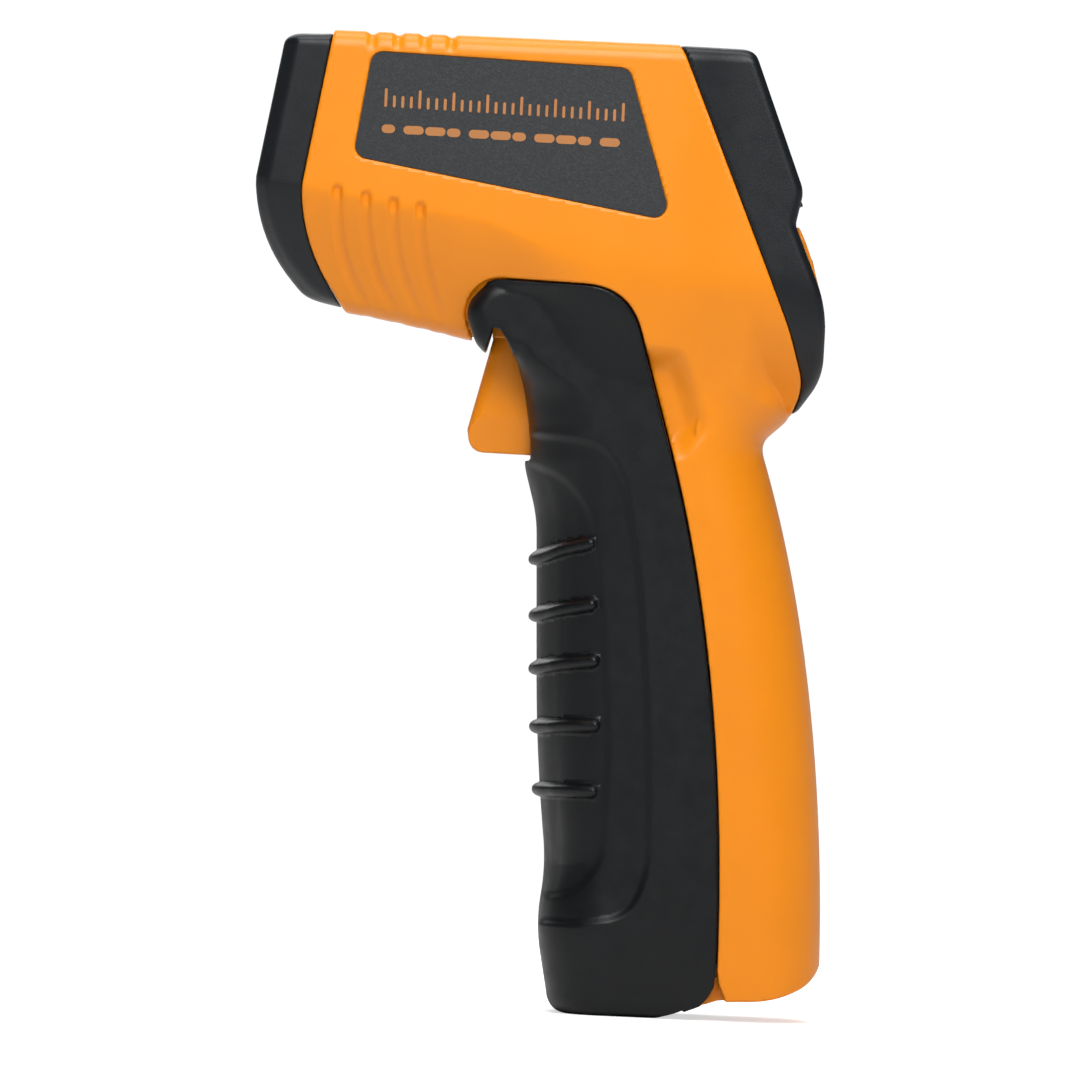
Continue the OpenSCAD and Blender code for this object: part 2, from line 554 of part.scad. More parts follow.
// ---- battery and wiring ----
battery_lean = 5;
module battery_frame() { translate([-25.4, 0, 34.2]) rotate([0, battery_lean, 0]) children(); }
module battery() {
    color([0.3, 0.32, 0.36]) battery_frame() {
        translate([-battery_size[0] / 2, -battery_size[1] / 2, -battery_size[2] / 2]) cube(battery_size);
        for (s = [-1, 1]) translate([s * 6.35, 0, battery_size[2] / 2 - 0.1]) cylinder(r = s > 0 ? 2.9 : 4, h = 2.4, $fn = s > 0 ? 48 : 6);
    }
}
module battery_snap() {
    color([0.1, 0.1, 0.1]) battery_frame() translate([0, 0, battery_size[2] / 2 + 0.1]) difference() {
        translate([-12.6, -6.2, 0]) cube([25.2, 12.4, 5]);
        translate([6.35, 0, -1]) cylinder(r = 3.1, h = 3.6, $fn = 48);
        translate([-6.35, 0, -1]) cylinder(r = 4.5, h = 3.6, $fn = 48);
    }
}
battery_route = [[-23, 63], [-22.9, 68], [-22.6, 76], [-22.3, 84], [-22.2, 92], [-22.2, 99], [-23.4, 106.6],
    [-27, 113], [-32, 117.4], [-37.6, 121.6]];
module lead_red() { color([0.75, 0.1, 0.08]) wire(battery_route, 2.2, 0.7); }
module lead_black() { color([0.08, 0.08, 0.08]) wire(battery_route, -2.2, 0.7); }
module battery_pad() {
    color([0.25, 0.25, 0.25]) battery_frame() translate([-14.9, -7, -18]) cube([1.5, 14, 30]);
}

// ---- fasteners ----
module shell_screws() {
    color([0.7, 0.7, 0.72]) for (p = screw_at) translate([p[0], 0, p[1]]) rotate([90, 0, 0]) difference() {
        union() {
            translate([0, 0, 7.8]) cylinder(r = 2.5, h = 2.1, $fn = 48);
            translate([0, 0, -8]) cylinder(r = 1.2, h = 16, $fn = 32);
        }
        for (a = [0, 90]) rotate([0, 0, a]) translate([-1.5, -0.3, 8.8]) cube([3, 0.6, 2]);
    }
}

body_left();
body_right();
nose_cap();
lens_hood();
fresnel_lens();
lens_ring();
laser_window();
rear_bezel();
display_window();
keypad_plate();
key_left();
key_right();
key_centre();
trigger();
trigger_pin();
trigger_spring();
trigger_switch();
trigger_board();
battery_door();
door_hinge_pin();
label_left();
label_right();
sensor_tube();
thermopile();
sensor_board();
sensor_ribbon();
laser_module();
laser_holder();
laser_lead_plus();
laser_lead_minus();
main_board();
lcd_glass();
lcd_backlight();
lcd_frame();
contact_strips();
key_switches();
microcontroller();
buzzer();
battery();
battery_snap();
lead_red();
lead_black();
battery_pad();
shell_screws();
board_screws();
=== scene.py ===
import math

import bmesh
import bpy
import numpy as np
from mathutils import Matrix, Vector


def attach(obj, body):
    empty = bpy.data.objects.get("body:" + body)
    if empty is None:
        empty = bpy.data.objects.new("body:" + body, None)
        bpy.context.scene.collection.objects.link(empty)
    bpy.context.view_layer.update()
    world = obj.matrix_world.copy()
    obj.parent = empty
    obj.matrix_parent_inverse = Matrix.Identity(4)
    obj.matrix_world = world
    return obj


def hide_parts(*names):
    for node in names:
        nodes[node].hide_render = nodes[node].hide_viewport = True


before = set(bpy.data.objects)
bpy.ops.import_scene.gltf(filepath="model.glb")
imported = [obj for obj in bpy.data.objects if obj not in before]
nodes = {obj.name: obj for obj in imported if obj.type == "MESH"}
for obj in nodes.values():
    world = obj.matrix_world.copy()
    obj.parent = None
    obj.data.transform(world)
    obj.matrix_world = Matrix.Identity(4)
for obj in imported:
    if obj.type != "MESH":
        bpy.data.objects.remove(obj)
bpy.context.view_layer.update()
MM = 0.001
F = np.float32


# ------------------------------------------------------------------ side view curves, in millimetres as [x, z]
def bend(a, c, b, n=24):
    t = np.linspace(0, 1, n + 1)[:, None]
    a, b, c = np.array(a, float), np.array(b, float), np.array(c, float)
    return a * (1 - t) ** 2 + 2 * c * t * (1 - t) + b * t * t


def soft(c, n=10):
    out = []
    for i, q in enumerate(c):
        p = np.array(q[:2], float)
        if q[2] == 0:
            out.append(p[None])
            continue
        a, b = np.array(c[i - 1][:2], float) - p, np.array(c[i + 1][:2], float) - p
        out.append(bend(p + q[2] * a / np.linalg.norm(a), p, p + q[2] * b / np.linalg.norm(b), n))
    return np.concatenate(out)


def cat(*parts):
    return np.concatenate([np.array(p, float).reshape(-1, 2) for p in parts])


nose_seam = soft([[40.3, 173, 0], [45, 144.2, 2], [44, 134, 8], [36.5, 122.8, 0]])
nose_front = soft([[40.3, 173.2, 0], [48.6, 172.6, 2.6], [53, 146, 0], [53, 144.5, 0], [52, 134.5, 9], [43, 124.4, 3],
                   [36.5, 122.2, 0]])
rear_seam = soft([[-20.6, 173, 0], [-22, 171, 1], [-42.7, 122.5, 3], [-45.6, 113, 3], [-43.2, 106.6, 0]])
rear_face = soft([[-20.6, 173.2, 0], [-34, 172.6, 2.6], [-43.9, 147.4, 1.5], [-42.7, 141.4, 0.8], [-48.8, 127.2, 5],
                  [-48.8, 114.6, 3.5], [-43.2, 106.4, 0]])
door_seam = cat(soft([[13.1, 118, 0], [15.7, 124.2, 3.5], [12, 130, 3.5], [-14, 129.2, 8], [-21.6, 104, 0]]),
                bend([-21.9, 103], [-34.5, 62], [-34.6, 9], 60))
butt = soft([[-36.4, 3.4, 0], [-45, 3.8, 4], [-51.6, 7, 3], [-53, 10, 0]])
grip_rear = cat([[-53, -8]], bend([-53, 10], [-52, 61.5], [-39.4, 99.5], 70),
                soft([[-39.1, 100.4, 0], [-38.6, 102.8, 1.8], [-43.6, 107.4, 2], [-44, 112, 0], [-44, 131, 0]]))
grip_front = cat(soft([[-4.6, -8, 0], [-4.7, 3, 1.5], [-2.2, 15.5, 5], [-3.5, 26, 5], [-1, 46, 14], [0.8, 88, 3],
                       [3.5, 97.5, 2], [3, 104, 0]], 16), bend([3.1, 104.5], [3.9, 111], [5.8, 115.9], 12),
                 [[11, 116.5], [13.1, 118.6]], soft([[13.75, 120, 0], [15.35, 124.3, 2.2], [12.1, 129.3, 2.4], [4, 131.5, 0], [-8, 132, 0]]))
body_outline = cat([[40.3, 180]], nose_seam, [[36.5, 115], [14, 115]], door_seam, [[-35, 6.5]], butt,
                   [[-56, 12], [-56, 99]], rear_seam[::-1], [[-20.8, 180]])
door_outline = cat([[12, 115], [30, 112], [30, -8], [-26.6, -8], [-27, -1], [-29.2, 1], [-31.7, 2], [-33.4, 4], [-34.4, 6]],
                   door_seam[::-1])
label_corners = [[33.3, 168.9], [-12.2, 167.8], [-20.8, 141.2], [35.9, 150.3]]


def rounded(corners, r, n=8):
    c = [list(p) for p in corners]
    out = []
    for i in range(len(c)):
        a, p, b = np.array(c[i - 1], float), np.array(c[i], float), np.array(c[(i + 1) % len(c)], float)
        u, v = (a - p) / np.linalg.norm(a - p), (b - p) / np.linalg.norm(b - p)
        h = math.acos(float(u @ v)) / 2
        m = (u + v) / np.linalg.norm(u + v)
        o = p + m * r / math.sin(h)
        t0, t1 = p + u * r / math.tan(h), p + v * r / math.tan(h)
        a0 = math.atan2(t0[1] - o[1], t0[0] - o[0])
        d = math.atan2(t1[1] - o[1], t1[0] - o[0]) - a0
        d = (d + math.pi) % (2 * math.pi) - math.pi
        out += [o + r * np.array([math.cos(a0 + d * k / n), math.sin(a0 + d * k / n)]) for k in range(n + 1)]
    return np.array(out)


# ------------------------------------------------------------------ plane fields on a 0.25 mm grid
H2 = 0.25
GX = np.arange(-60, 60 + 1e-6, H2)
GZ = np.arange(-6, 180 + 1e-6, H2)
PX, PZ = np.meshgrid(GX.astype(F), GZ.astype(F), indexing="ij")


def line_distance(points, closed=False):
    points = np.array(points, float)
    d2 = np.full(PX.shape, 1e9, F)
    inside = np.zeros(PX.shape, bool)
    n = len(points)
    for i in range(n if closed else n - 1):
        (ax, az), (bx, bz) = points[i], points[(i + 1) % n]
        ex, ez = bx - ax, bz - az
        ll = ex * ex + ez * ez
        if ll < 1e-12:
            continue
        wx, wz = PX - F(ax), PZ - F(az)
        t = np.clip((wx * F(ex) + wz * F(ez)) * F(1 / ll), 0, 1)
        np.minimum(d2, (wx - t * F(ex)) ** 2 + (wz - t * F(ez)) ** 2, out=d2)
        if closed and az != bz:
            lo, hi = min(az, bz), max(az, bz)
            k0, k1 = np.searchsorted(GZ, [lo, hi])
            if k1 > k0:
                xc = ax + (GZ[k0:k1] - az) * ex / ez
                inside[:, k0:k1] ^= GX[:, None] < xc[None, :]
    d = np.sqrt(d2)
    return np.where(inside, -d, d).astype(F) if closed else d.astype(F)


def region(points):
    return line_distance(points, True)


def blur(a, sigma_mm):
    k = max(1, int(round(sigma_mm / H2 * 3)))
    w = np.exp(-0.5 * (np.arange(-k, k + 1) * H2 / sigma_mm) ** 2)
    w = (w / w.sum()).astype(F)
    for axis in (0, 1):
        p = np.pad(a, [(k, k) if i == axis else (0, 0) for i in (0, 1)], mode="edge")
        a = sum(w[i] * (p[i:i + a.shape[0], :] if axis == 0 else p[:, i:i + a.shape[1]]) for i in range(2 * k + 1))
    return a.astype(F)


def table(axis_values, pairs, sigma):
    pairs = sorted(pairs)
    v = np.interp(axis_values, [p[0] for p in pairs], [p[1] for p in pairs])
    k = int(round(sigma / H2 * 3))
    w = np.exp(-0.5 * (np.arange(-k, k + 1) * H2 / sigma) ** 2)
    return np.convolve(np.pad(v, k, mode="edge"), w / w.sum(), mode="valid")


def step(t):
    t = np.clip(t, 0, 1)
    return t * t * (3 - 2 * t)


fields = {}
head_w = 22.5 + 2 * step((-21 - GX) / 12)
crease = table(GX, [[-60, 130], [-50, 130], [-38, 131], [-20, 131.5], [-5, 134], [0, 135], [5, 137], [12, 139.8], [24, 141.2],
                    [33, 142.8], [45, 144.7], [55, 145], [60, 145]], 1.6)
bottom = table(GX, [[-60, 108.2], [-50, 108.2], [-45, 107.4], [-20, 112], [0, 116], [13, 118.7], [22, 120.5], [30, 122],
                    [37, 123], [55, 124], [60, 124]], 1.6)
width = table(GZ, [[-6, 18], [20, 18], [50, 17.4], [80, 17], [100, 17.2], [118, 17.6], [180, 17.6]], 5)
front_r = table(GZ, [[-6, 12], [10, 12], [100, 13], [110, 11], [116, 3.5], [180, 3]], 1.2)
s = np.clip((crease[:, None] - GZ[None, :]) / (crease - bottom)[:, None], 0, 1)
power = (1.2 + 0.5 * step((6 - GX) / 14))[:, None]
half = 9 + (head_w[:, None] - 9) * (1 - s ** power)
soft_half = blur(half.astype(F), 2.4)
mix = step((8 - GX) / 16)[:, None].astype(F)
half = blur(half.astype(F), 0.4) * (1 - mix) + soft_half * mix
fields["half"] = half.astype(F)
gx, gz = np.gradient(half, H2)
fields["slope"] = blur((1 / np.sqrt(1 + gx ** 2 + gz ** 2)).astype(F), 0.6)
fields["grip"] = blur(region(cat(grip_rear, grip_front[::-1])), 0.35)
middle = np.interp(GZ, [0, 40, 80, 100, 131], [-29, -26, -22, -19, -12])
rear_share = step((middle[None, :] + 7 - GX[:, None]) / 14)
fields["round"] = (front_r[None, :] + (13 - front_r[None, :]) * rear_share).astype(F)
fields["k"] = (0.5 + 7.5 * (step((4 - GX) / 14) * (1 - step((-34 - GX) / 6)))[:, None] * np.ones_like(GZ)[None, :]
               + 1.8 * (step((11 - GX) / 5) * step((GX + 3) / 8))[:, None] * step((GZ - 127) / 2)[None, :]).astype(F)
fields["bottom"] = np.broadcast_to(bottom[:, None], PX.shape).astype(F)
fields["width"] = np.broadcast_to(width[None, :], PX.shape).astype(F)
fields["body"] = region(body_outline)
fields["door"] = region(door_outline)
fields["nose_in"] = region(cat([[60, 180]], [[40.2, 180]], nose_seam, [[36.5, 110], [60, 110]]))
fields["nose_out"] = region(cat([[0, 180], [40.3, 180]], nose_front, [[36.5, 110], [0, 110]]))
fields["rear_in"] = region(cat([[-58, 180], [-20.7, 180]], rear_seam, [[-43.2, 100], [-58, 100]]))
fields["rear_out"] = region(cat([[0, 180], [-20.6, 180]], rear_face, [[-43.2, 100], [0, 100]]))
fields["label"] = region(rounded(label_corners, 2.2)) - F(0.12)
grooves = [[[38.5, 144.2], [38.4, 140], [38, 137], [37.4, 134], [36.5, 131], [34.9, 127.4], [33, 124], [32, 121]],
           [[33.4, 143.3], [33.3, 139.5], [32.9, 136.5], [32.2, 133], [31, 129.5], [29.4, 126.2], [27.5, 123], [26.3, 120]],
           [[28.5, 142.4], [28.4, 138.6], [28, 135.5], [27.2, 132], [26, 128.5], [24.4, 125], [22.5, 121.5], [21.4, 119]],
           [[23.7, 141.8], [23.6, 138], [23.2, 134.8], [22.4, 131.2], [21.4, 128], [20.2, 124.6], [19, 120.5], [18.2, 118]]]
groove = np.min([line_distance(soft([[*p, 0 if i in (0, 7) else 1.2] for i, p in enumerate(g)], 4)) for g in grooves], axis=0)
fields["groove"] = groove.astype(F)
notch = rounded([[-12, 119.9], [-24.4, 119.2], [-30.2, 104.6], [-25, 98.4], [-12, 98.4]], 2.6)
fields["notch"] = blur(region(notch), 0.9)
recess = soft([[4, 103.2, 0], [-4, 102.6, 0.5], [-10.5, 102, 4], [-15, 95.5, 4], [-18.7, 78, 8], [-21.6, 48, 12], [-22.4, 25, 5],
               [-18.6, 17.2, 4], [-9, 15.6, 3], [6, 15.2, 0], [6, 103, 0]], 12)
fields["recess"] = blur(region(recess), 0.5)
inner_recess = soft([[8, 100, 0], [-4, 96, 3], [-9.4, 90, 4], [-12, 75, 6], [-14.6, 50, 8], [-14.2, 26, 5], [-8, 20, 4], [8, 20, 0]], 12)
fields["palm"] = blur(region(inner_recess), 0.8)
rib_lines = [[[4, 79.9], [0, 80.7], [-4, 82.4], [-8.6, 83.6]], [[4, 69.9], [0, 70.5], [-4, 71.7], [-9.4, 72.8]],
             [[4, 60.5], [0, 61.0], [-4, 62.0], [-10.2, 62.8]], [[4, 50.4], [-1, 50.6], [-5, 51.1], [-10.9, 51.4]],
             [[4, 39.3], [-1, 39.4], [-5, 39.6], [-11.0, 39.7]]]
fields["rib"] = np.min([line_distance(soft([[*p, 0 if i in (0, 3) else 1.5] for i, p in enumerate(g)], 4)) for g in rib_lines],
                       axis=0).astype(F)
lug = [[-42, 4.4], [-34.9, 3.6], [-33, 2.9], [-31.6, 2.6], [-30.4, 3], [-29.9, 4.4], [-30.4, 5.8], [-31.6, 6.4], [-35, 8], [-42, 9.6]]
fields["lug"] = region(lug)
fields["plate"] = region([[-13, 102], [-1.6, 102], [-0.8, 110], [0, 116], [2.5, 119.4], [10, 119.4], [10, 133.5], [-13, 133.5]])
fields["tip"] = region([[-17, 114.5], [-22.7, 114.5], [-25.3, 103.5], [-20, 103]])
fields["knuckle"] = region([[-33.6, 4], [-33.2, 5.8], [-31.6, 6.6], [-30, 6], [-28.6, 4], [-28, 1.8], [-29.2, 1.2], [-31.7, 2.2],
                            [-33.2, 3.2]])
fields["mouth"] = region(cat([[20, 98.2], [20, 115.8], [11.3, 116.1], [10, 121], [8.6, 120.8]],
                             bend([8.4, 120.6], [3.4, 113], [2.4, 98.2], 24)))
fields["trigger"] = region(soft([[9, 122, 0], [9.6, 120.4, 0], [13.8, 103, 0], [13.2, 99, 2.6], [-1.5, 98.8, 1], [-1.5, 114, 2],
                                 [2, 120, 2], [2.8, 122, 0]], 12))


def sample(names, x, z):
    """Cubic interpolation of the plane fields at x, z of any one shape."""
    u, v = (x - GX[0]) / H2, (z - GZ[0]) / H2
    i = np.clip(np.floor(u).astype(np.int32), 1, len(GX) - 3)
    j = np.clip(np.floor(v).astype(np.int32), 1, len(GZ) - 3)
    a, b = (u - i).astype(F), (v - j).astype(F)

    def weights(t):
        return (0.5 * (-t + 2 * t * t - t ** 3), 0.5 * (2 - 5 * t * t + 3 * t ** 3), 0.5 * (t + 4 * t * t - 3 * t ** 3),
                0.5 * (-t * t + t ** 3))
    wa, wb = weights(a), weights(b)
    flat = (i * len(GZ) + j)
    out = {}
    for n in names:
        src = fields[n].ravel()
        acc = 0
        for p in range(4):
            row = flat + (p - 1) * len(GZ)
            acc = acc + wa[p] * (wb[0] * src[row - 1] + wb[1] * src[row] + wb[2] * src[row + 1] + wb[3] * src[row + 2])
        out[n] = acc
    return out


# ------------------------------------------------------------------ solids as distance functions
def rmax(a, b, r):
    return np.minimum(np.maximum(a, b), -r) + np.sqrt(np.maximum(a + r, 0) ** 2 + np.maximum(b + r, 0) ** 2)


def smin(a, b, k):
    h = np.maximum(k - np.abs(a - b), 0) / k
    return np.minimum(a, b) - h * h * k * 0.25


def less(a, b, r=0.25):
    return rmax(a, -b, r)


def join(a, b, r=0.4):
    return smin(a, b, r * 2.4)


def box3(p, lo, hi):
    lo, hi = np.array(lo, float), np.array(hi, float)
    c, h = (lo + hi) / 2, (hi - lo) / 2
    q = [np.abs(p[i] - c[i]) - h[i] for i in range(3)]
    return np.maximum(np.maximum(q[0], q[1]), q[2])


def rod(p, axis, centre, r, lo=-1e3, hi=1e3):
    o = [i for i in range(3) if i != axis]
    d = np.sqrt((p[o[0]] - centre[0]) ** 2 + (p[o[1]] - centre[1]) ** 2) - r
    return np.maximum(d, np.maximum(lo - p[axis], p[axis] - hi))


def turned(p, origin, degrees_):
    """Point coordinates in a frame turned about Y at origin."""
    c, sn = math.cos(math.radians(degrees_)), math.sin(math.radians(degrees_))
    x, z = p[0] - origin[0], p[2] - origin[2]
    return (c * x - sn * z, p[1] - origin[1], sn * x + c * z)


def rear_local(p):
    return turned(p, (-34, 0, 144), 23)


def key_local(p):
    return turned(turned(p, (-34, 0, 144), 23), (-6.3, 0, -17), -8.8)


ENV = ["half", "slope", "grip", "round", "k", "bottom", "width"]


def envelope(p, f):
    ay = np.abs(p[1])
    side = (ay - f["half"]) * f["slope"]
    head = rmax(rmax(side, p[2] - 172.5, 3.0), (f["bottom"] - p[2]) * 0.99, 2.2)
    grip = rmax(f["grip"], ay - f["width"], f["round"])
    return smin(head, grip, f["k"])


screw_at = [[12, 165], [28, 131], [-29.5, 104.5], [-45.3, 13]]


def shell(side):
    def f(p, v):
        x, y, z = p[0], p[1] * side, p[2]
        ay = np.abs(p[1])
        e = envelope(p, v)
        skin = e
        # grooves down the barrel, each with a scooped top end
        g = step((1.2 - v["groove"]) / 0.9)
        low = 0.25 + 0.75 * step((z - v["bottom"] - 0.5) / 6)
        scoop = np.exp(-((z - 143.9 + 0.18 * (38.5 - x)) / 1.15) ** 2)
        skin = skin + (0.4 * low + 0.45 * scoop) * g * step((x - 10) / 3)
        # shallow grooves over the top
        for cx in (33.5, 28.9, 24.2, 19.5):
            skin = skin + 0.5 * np.clip(1 - ((x - cx) / 1.15) ** 2, 0, 1) ** 1.5 * step((z - 168.6) / 2.4)
        # finger recess beside the door
        skin = skin + 2.3 * step(-v["notch"] / 5.0) * step((z - 90) / 6) * step((ay - 4) / 6)
        a = rmax(skin, v["body"] + 0.1, 0.35)
        # tongue that closes the seam in front of the door's upper lobe
        tongue = np.maximum(np.maximum(skin + 0.8, v["body"] - 1.1), np.maximum(np.abs(x - 12.5) - 4.5, np.abs(z - 123.5) - 7))
        a = np.minimum(a, np.maximum(tongue, 6.5 - ay))
        a = less(a, np.maximum(np.maximum(e + 2.0, skin + 1.3), 7.5 - z), 0.2)
        a = less(a, np.maximum(v["label"], 22.0 - y), 0.18)
        # screw columns, carrier plates, saddles, battery shelf and stops, hinge lug
        column = 3 if side > 0 else 4
        ribs = np.full(np.broadcast(x, y, z).shape, 1e3, F)
        for cx, cz in screw_at:
            ribs = np.minimum(ribs, rod((x, y, z), 1, (cx, cz), column, 0.05, 30))
        ribs = np.minimum(ribs, np.maximum(v["plate"], np.abs(y - 9.5) - 0.9))
        for lo, hi in (([-13, 8.6, 131.5], [10, 28.6, 133.5]), ([25, 0.05, 137], [27, 22, 160.4]), ([35, 0.05, 137], [37, 22, 160.4]),
                       ([-51, 0.05, 7.6], [-13, 12.5, 9.4]), ([-51, 0.05, 20], [-42, 18, 21.8]), ([-51, 0.05, 48], [-39.6, 18, 49.8]),
                       ([-45, 0.05, 90], [-26, 18, 91.8])):
            ribs = np.minimum(ribs, box3((x, y, z), lo, hi))
        ribs = np.minimum(ribs, np.maximum(v["lug"], np.abs(y - 13.2) - 1.1))
        a = np.minimum(a, np.maximum(ribs, e + 0.8))
        a = rmax(a, 0.05 - y, 0.16)
        a = less(a, rod(p, 0, (0, 149.5), 10.6, 16, 44), 0.2)
        for cx, cz in screw_at:
            a = less(a, rod((x, y, z), 1, (cx, cz), 1.3, -1, 12 if side > 0 else 30), 0.1)
            if side < 0:
                a = less(a, rod((x, y, z), 1, (cx, cz), 2.9, 7.7, 40), 0.3)
        a = less(a, rod(p, 1, (6, 123.5), 1.27, -12, 12), 0.1)
        a = less(a, rod(p, 1, (-31.6, 4.4), 1.02, -14.5, 14.5), 0.1)
        a = less(a, box3(p, [-10.5, -12, 103.5], [-8.9, 12, 120.5]), 0.1)
        return a
    return f


def nose(p, v):
    e = envelope(p, v)
    front = v["nose_out"]
    a = rmax(e, front, 0.4)
    a = rmax(a, (e + front + 2.1) * 0.7071, 0.5)
    a = rmax(a, v["nose_in"] + 0.0, 0.3)
    a = less(a, np.maximum(e + 2.0, front + 2.7), 0.2)
    a = less(a, rod(p, 0, (0, 149.5), 12, 38, 60), 0.7)
    a = less(a, rod(p, 0, (0, 165.5), 2.6, 38, 60), 0.35)
    return a


def keypad_shape(q, grow):
    """Distance to the rounded plate outline in the key frame's y, z."""
    y, z = np.abs(q[1]), q[2]
    n = math.hypot(16, 2)
    side = ((y - 8.5) * 16 - z * 2) / n
    return rmax(rmax(side - 3, np.abs(z) - 11, 3.2), side - 3, 0.1) - grow


key_at = [[6, 2.6], [-6, 2.6], [0, -5.1]]
key_len = [3, 3, 3.6]


def key_shape(q, i, grow=0.0):
    y, z = q[1] - key_at[i][0], q[2] - key_at[i][1]
    return np.sqrt(np.maximum(np.abs(y) - key_len[i] / 2, 0) ** 2 + z ** 2) - 2.8 - grow


def bezel(p, v):
    e = envelope(p, v)
    back = v["rear_out"]
    a = rmax(e, back, 1.6)
    a = rmax(a, v["rear_in"], 0.3)
    a = less(a, np.maximum(e + 2.0, back + 2.2), 0.2)
    r = rear_local(p)
    for y in (-18.7, 18.7):
        for z in (-1, 19):
            a = np.minimum(a, rod(r, 0, (y, z), 2.1, -9.5, 1.4))
    def hole(lo, hi, round_):
        q = rmax(rmax(np.abs(r[1]) - hi[1], np.abs(r[2] - (lo[2] + hi[2]) / 2) - (hi[2] - lo[2]) / 2, round_),
                 np.abs(r[0] - (lo[0] + hi[0]) / 2) - (hi[0] - lo[0]) / 2, 0.05)
        return q
    a = less(a, hole([-14, 0, 4], [-6, 14.3, 20], 1.0), 0.25)
    a = less(a, hole([-16, 0, 3.2], [-9.25, 16.1, 21.6], 0.6), 0.35)
    for y in (-18.7, 18.7):
        for z in (-1, 19):
            a = less(a, rod(r, 0, (y, z), 0.95, -5, 7), 0.1)
    k = key_local(p)
    a = less(a, np.maximum(keypad_shape(k, 0.12), np.maximum(-6 - k[0], k[0] - 0.95)), 0.35)
    for i in range(3):
        a = less(a, np.maximum(key_shape(k, i, 0.25), np.maximum(-5 - k[0], k[0] - 5)), 0.1)
    return a


def plate(p, v):
    k = key_local(p)
    crown = np.sqrt((k[0] - 49.5) ** 2 + k[2] ** 2) - 50.5
    a = rmax(keypad_shape(k, 0.0), np.maximum(crown, k[0] - 0.85), 0.45)
    for i in range(3):
        a = less(a, np.maximum(key_shape(k, i, 0.25), np.abs(k[0]) - 6), 0.35)
    return a


def key(i):
    def f(p, v):
        k = key_local(p)
        y, z = k[1] - key_at[i][0], k[2] - key_at[i][1]
        dish = 0.35 - 0.012 * (y * y * 0.6 + z * z)
        a = rmax(key_shape(k, i), np.maximum(-1.05 + np.maximum(0.35 - dish, 0) - k[0], k[0] - 2.45), 0.75)
        a = np.minimum(a, np.maximum(key_shape(k, i, 0.8), np.abs(k[0] - 2.75) - 0.35))
        end = [4.8, 4.8, 3.6][i]
        a = np.minimum(a, np.maximum(np.sqrt(y * y + z * z) - 1.4, np.maximum(2.5 - k[0], k[0] - end)))
        return a
    return f


def keel_path(p):
    """Space swept by the barrel's under side, in the door's frame."""
    x, ay = p[0], np.abs(p[1])
    z = p[2] + 0.38 * (x - 14.5) + 0.6
    w, wb, zc, zb = 22.95, 9.27, 139.98, 118.5
    sn = np.clip((zc - z) / (zc - zb), 0, 1)
    h = wb + (w - wb) * (1 - sn ** 1.2)
    return np.maximum(np.maximum((ay - h) * 0.8, (zb - z) * 0.93), np.maximum(-20 - x, x - 15))


def door(p, v):
    x, y, z = p
    ay = np.abs(y)
    e = envelope(p, v)
    r = v["recess"]
    wrap = step((ay - 1) / 9)
    skin = e + wrap * (0.6 * step((-r + 0.1) / 1.5) + 0.1 * np.clip(-r, 0, 11) + 0.4 * step(-v["palm"] / 1.6))
    # finger ribs
    rib = np.sqrt(np.maximum(v["rib"], 0) ** 2 + 0.04) - 0.2
    ridge = np.clip(1 - (rib / 1.15) ** 2, 0, 1) ** 0.8
    skin = skin - 1.45 * ridge * step((-r) / 1.5)
    a = rmax(skin, v["door"] + 0.2, 0.35)
    a = rmax(a, -z, 3.6)
    a = less(a, np.maximum(np.maximum(e + 2.2, skin + 1.4), 2.0 - z), 0.2)
    knuckle = np.maximum(v["knuckle"], np.abs(ay - 7.5) - 3.5)
    a = np.minimum(a, knuckle)
    a = less(a, v["mouth"], 0.45)
    a = less(a, np.maximum(np.abs(y) - 5.8, np.maximum(np.maximum(-3 - x, x - 10.9), np.maximum(97.9 - z, z - 120.9))), 0.3)
    a = less(a, keel_path(p), 0.2)
    a = less(a, np.maximum(np.abs(ay - 13.2) - 1.5, np.maximum(np.maximum(-40 - x, x + 30.4), np.maximum(-1 - z, z - 8.4))), 0.15)
    a = less(a, rod(p, 1, (-31.6, 4.4), 1.08, -12, 12), 0.1)
    return a


def trigger(p, v):
    x, y, z = p
    ay = np.abs(y)
    a = rmax(v["trigger"], ay - 5.4, 0.9)
    # the side leans in below a straight edge, and the front edge is rolled
    a = rmax(a, (ay - 5.4 + 0.42 * (105.7 - z)) * 0.92, 0.35)
    roll = rmax(v["trigger"], ay - 5.4, 2.6)
    a = np.where(x > 6.5, np.maximum(a, roll), a)
    hub = np.maximum(np.sqrt((x - 6) ** 2 + (z - 123.5) ** 2) - 3.6, ay - 5.4)
    a = np.minimum(a, hub)
    a = less(a, rod(p, 1, (6, 123.5), 1.31), 0.15)
    a = less(a, np.maximum(ay - 3.4, np.maximum(np.maximum(-3 - x, x - 1.3 - 0.7 * step((z - 101) / 1)), np.maximum(101.5 - z, z - 112))), 0.2)
    return a


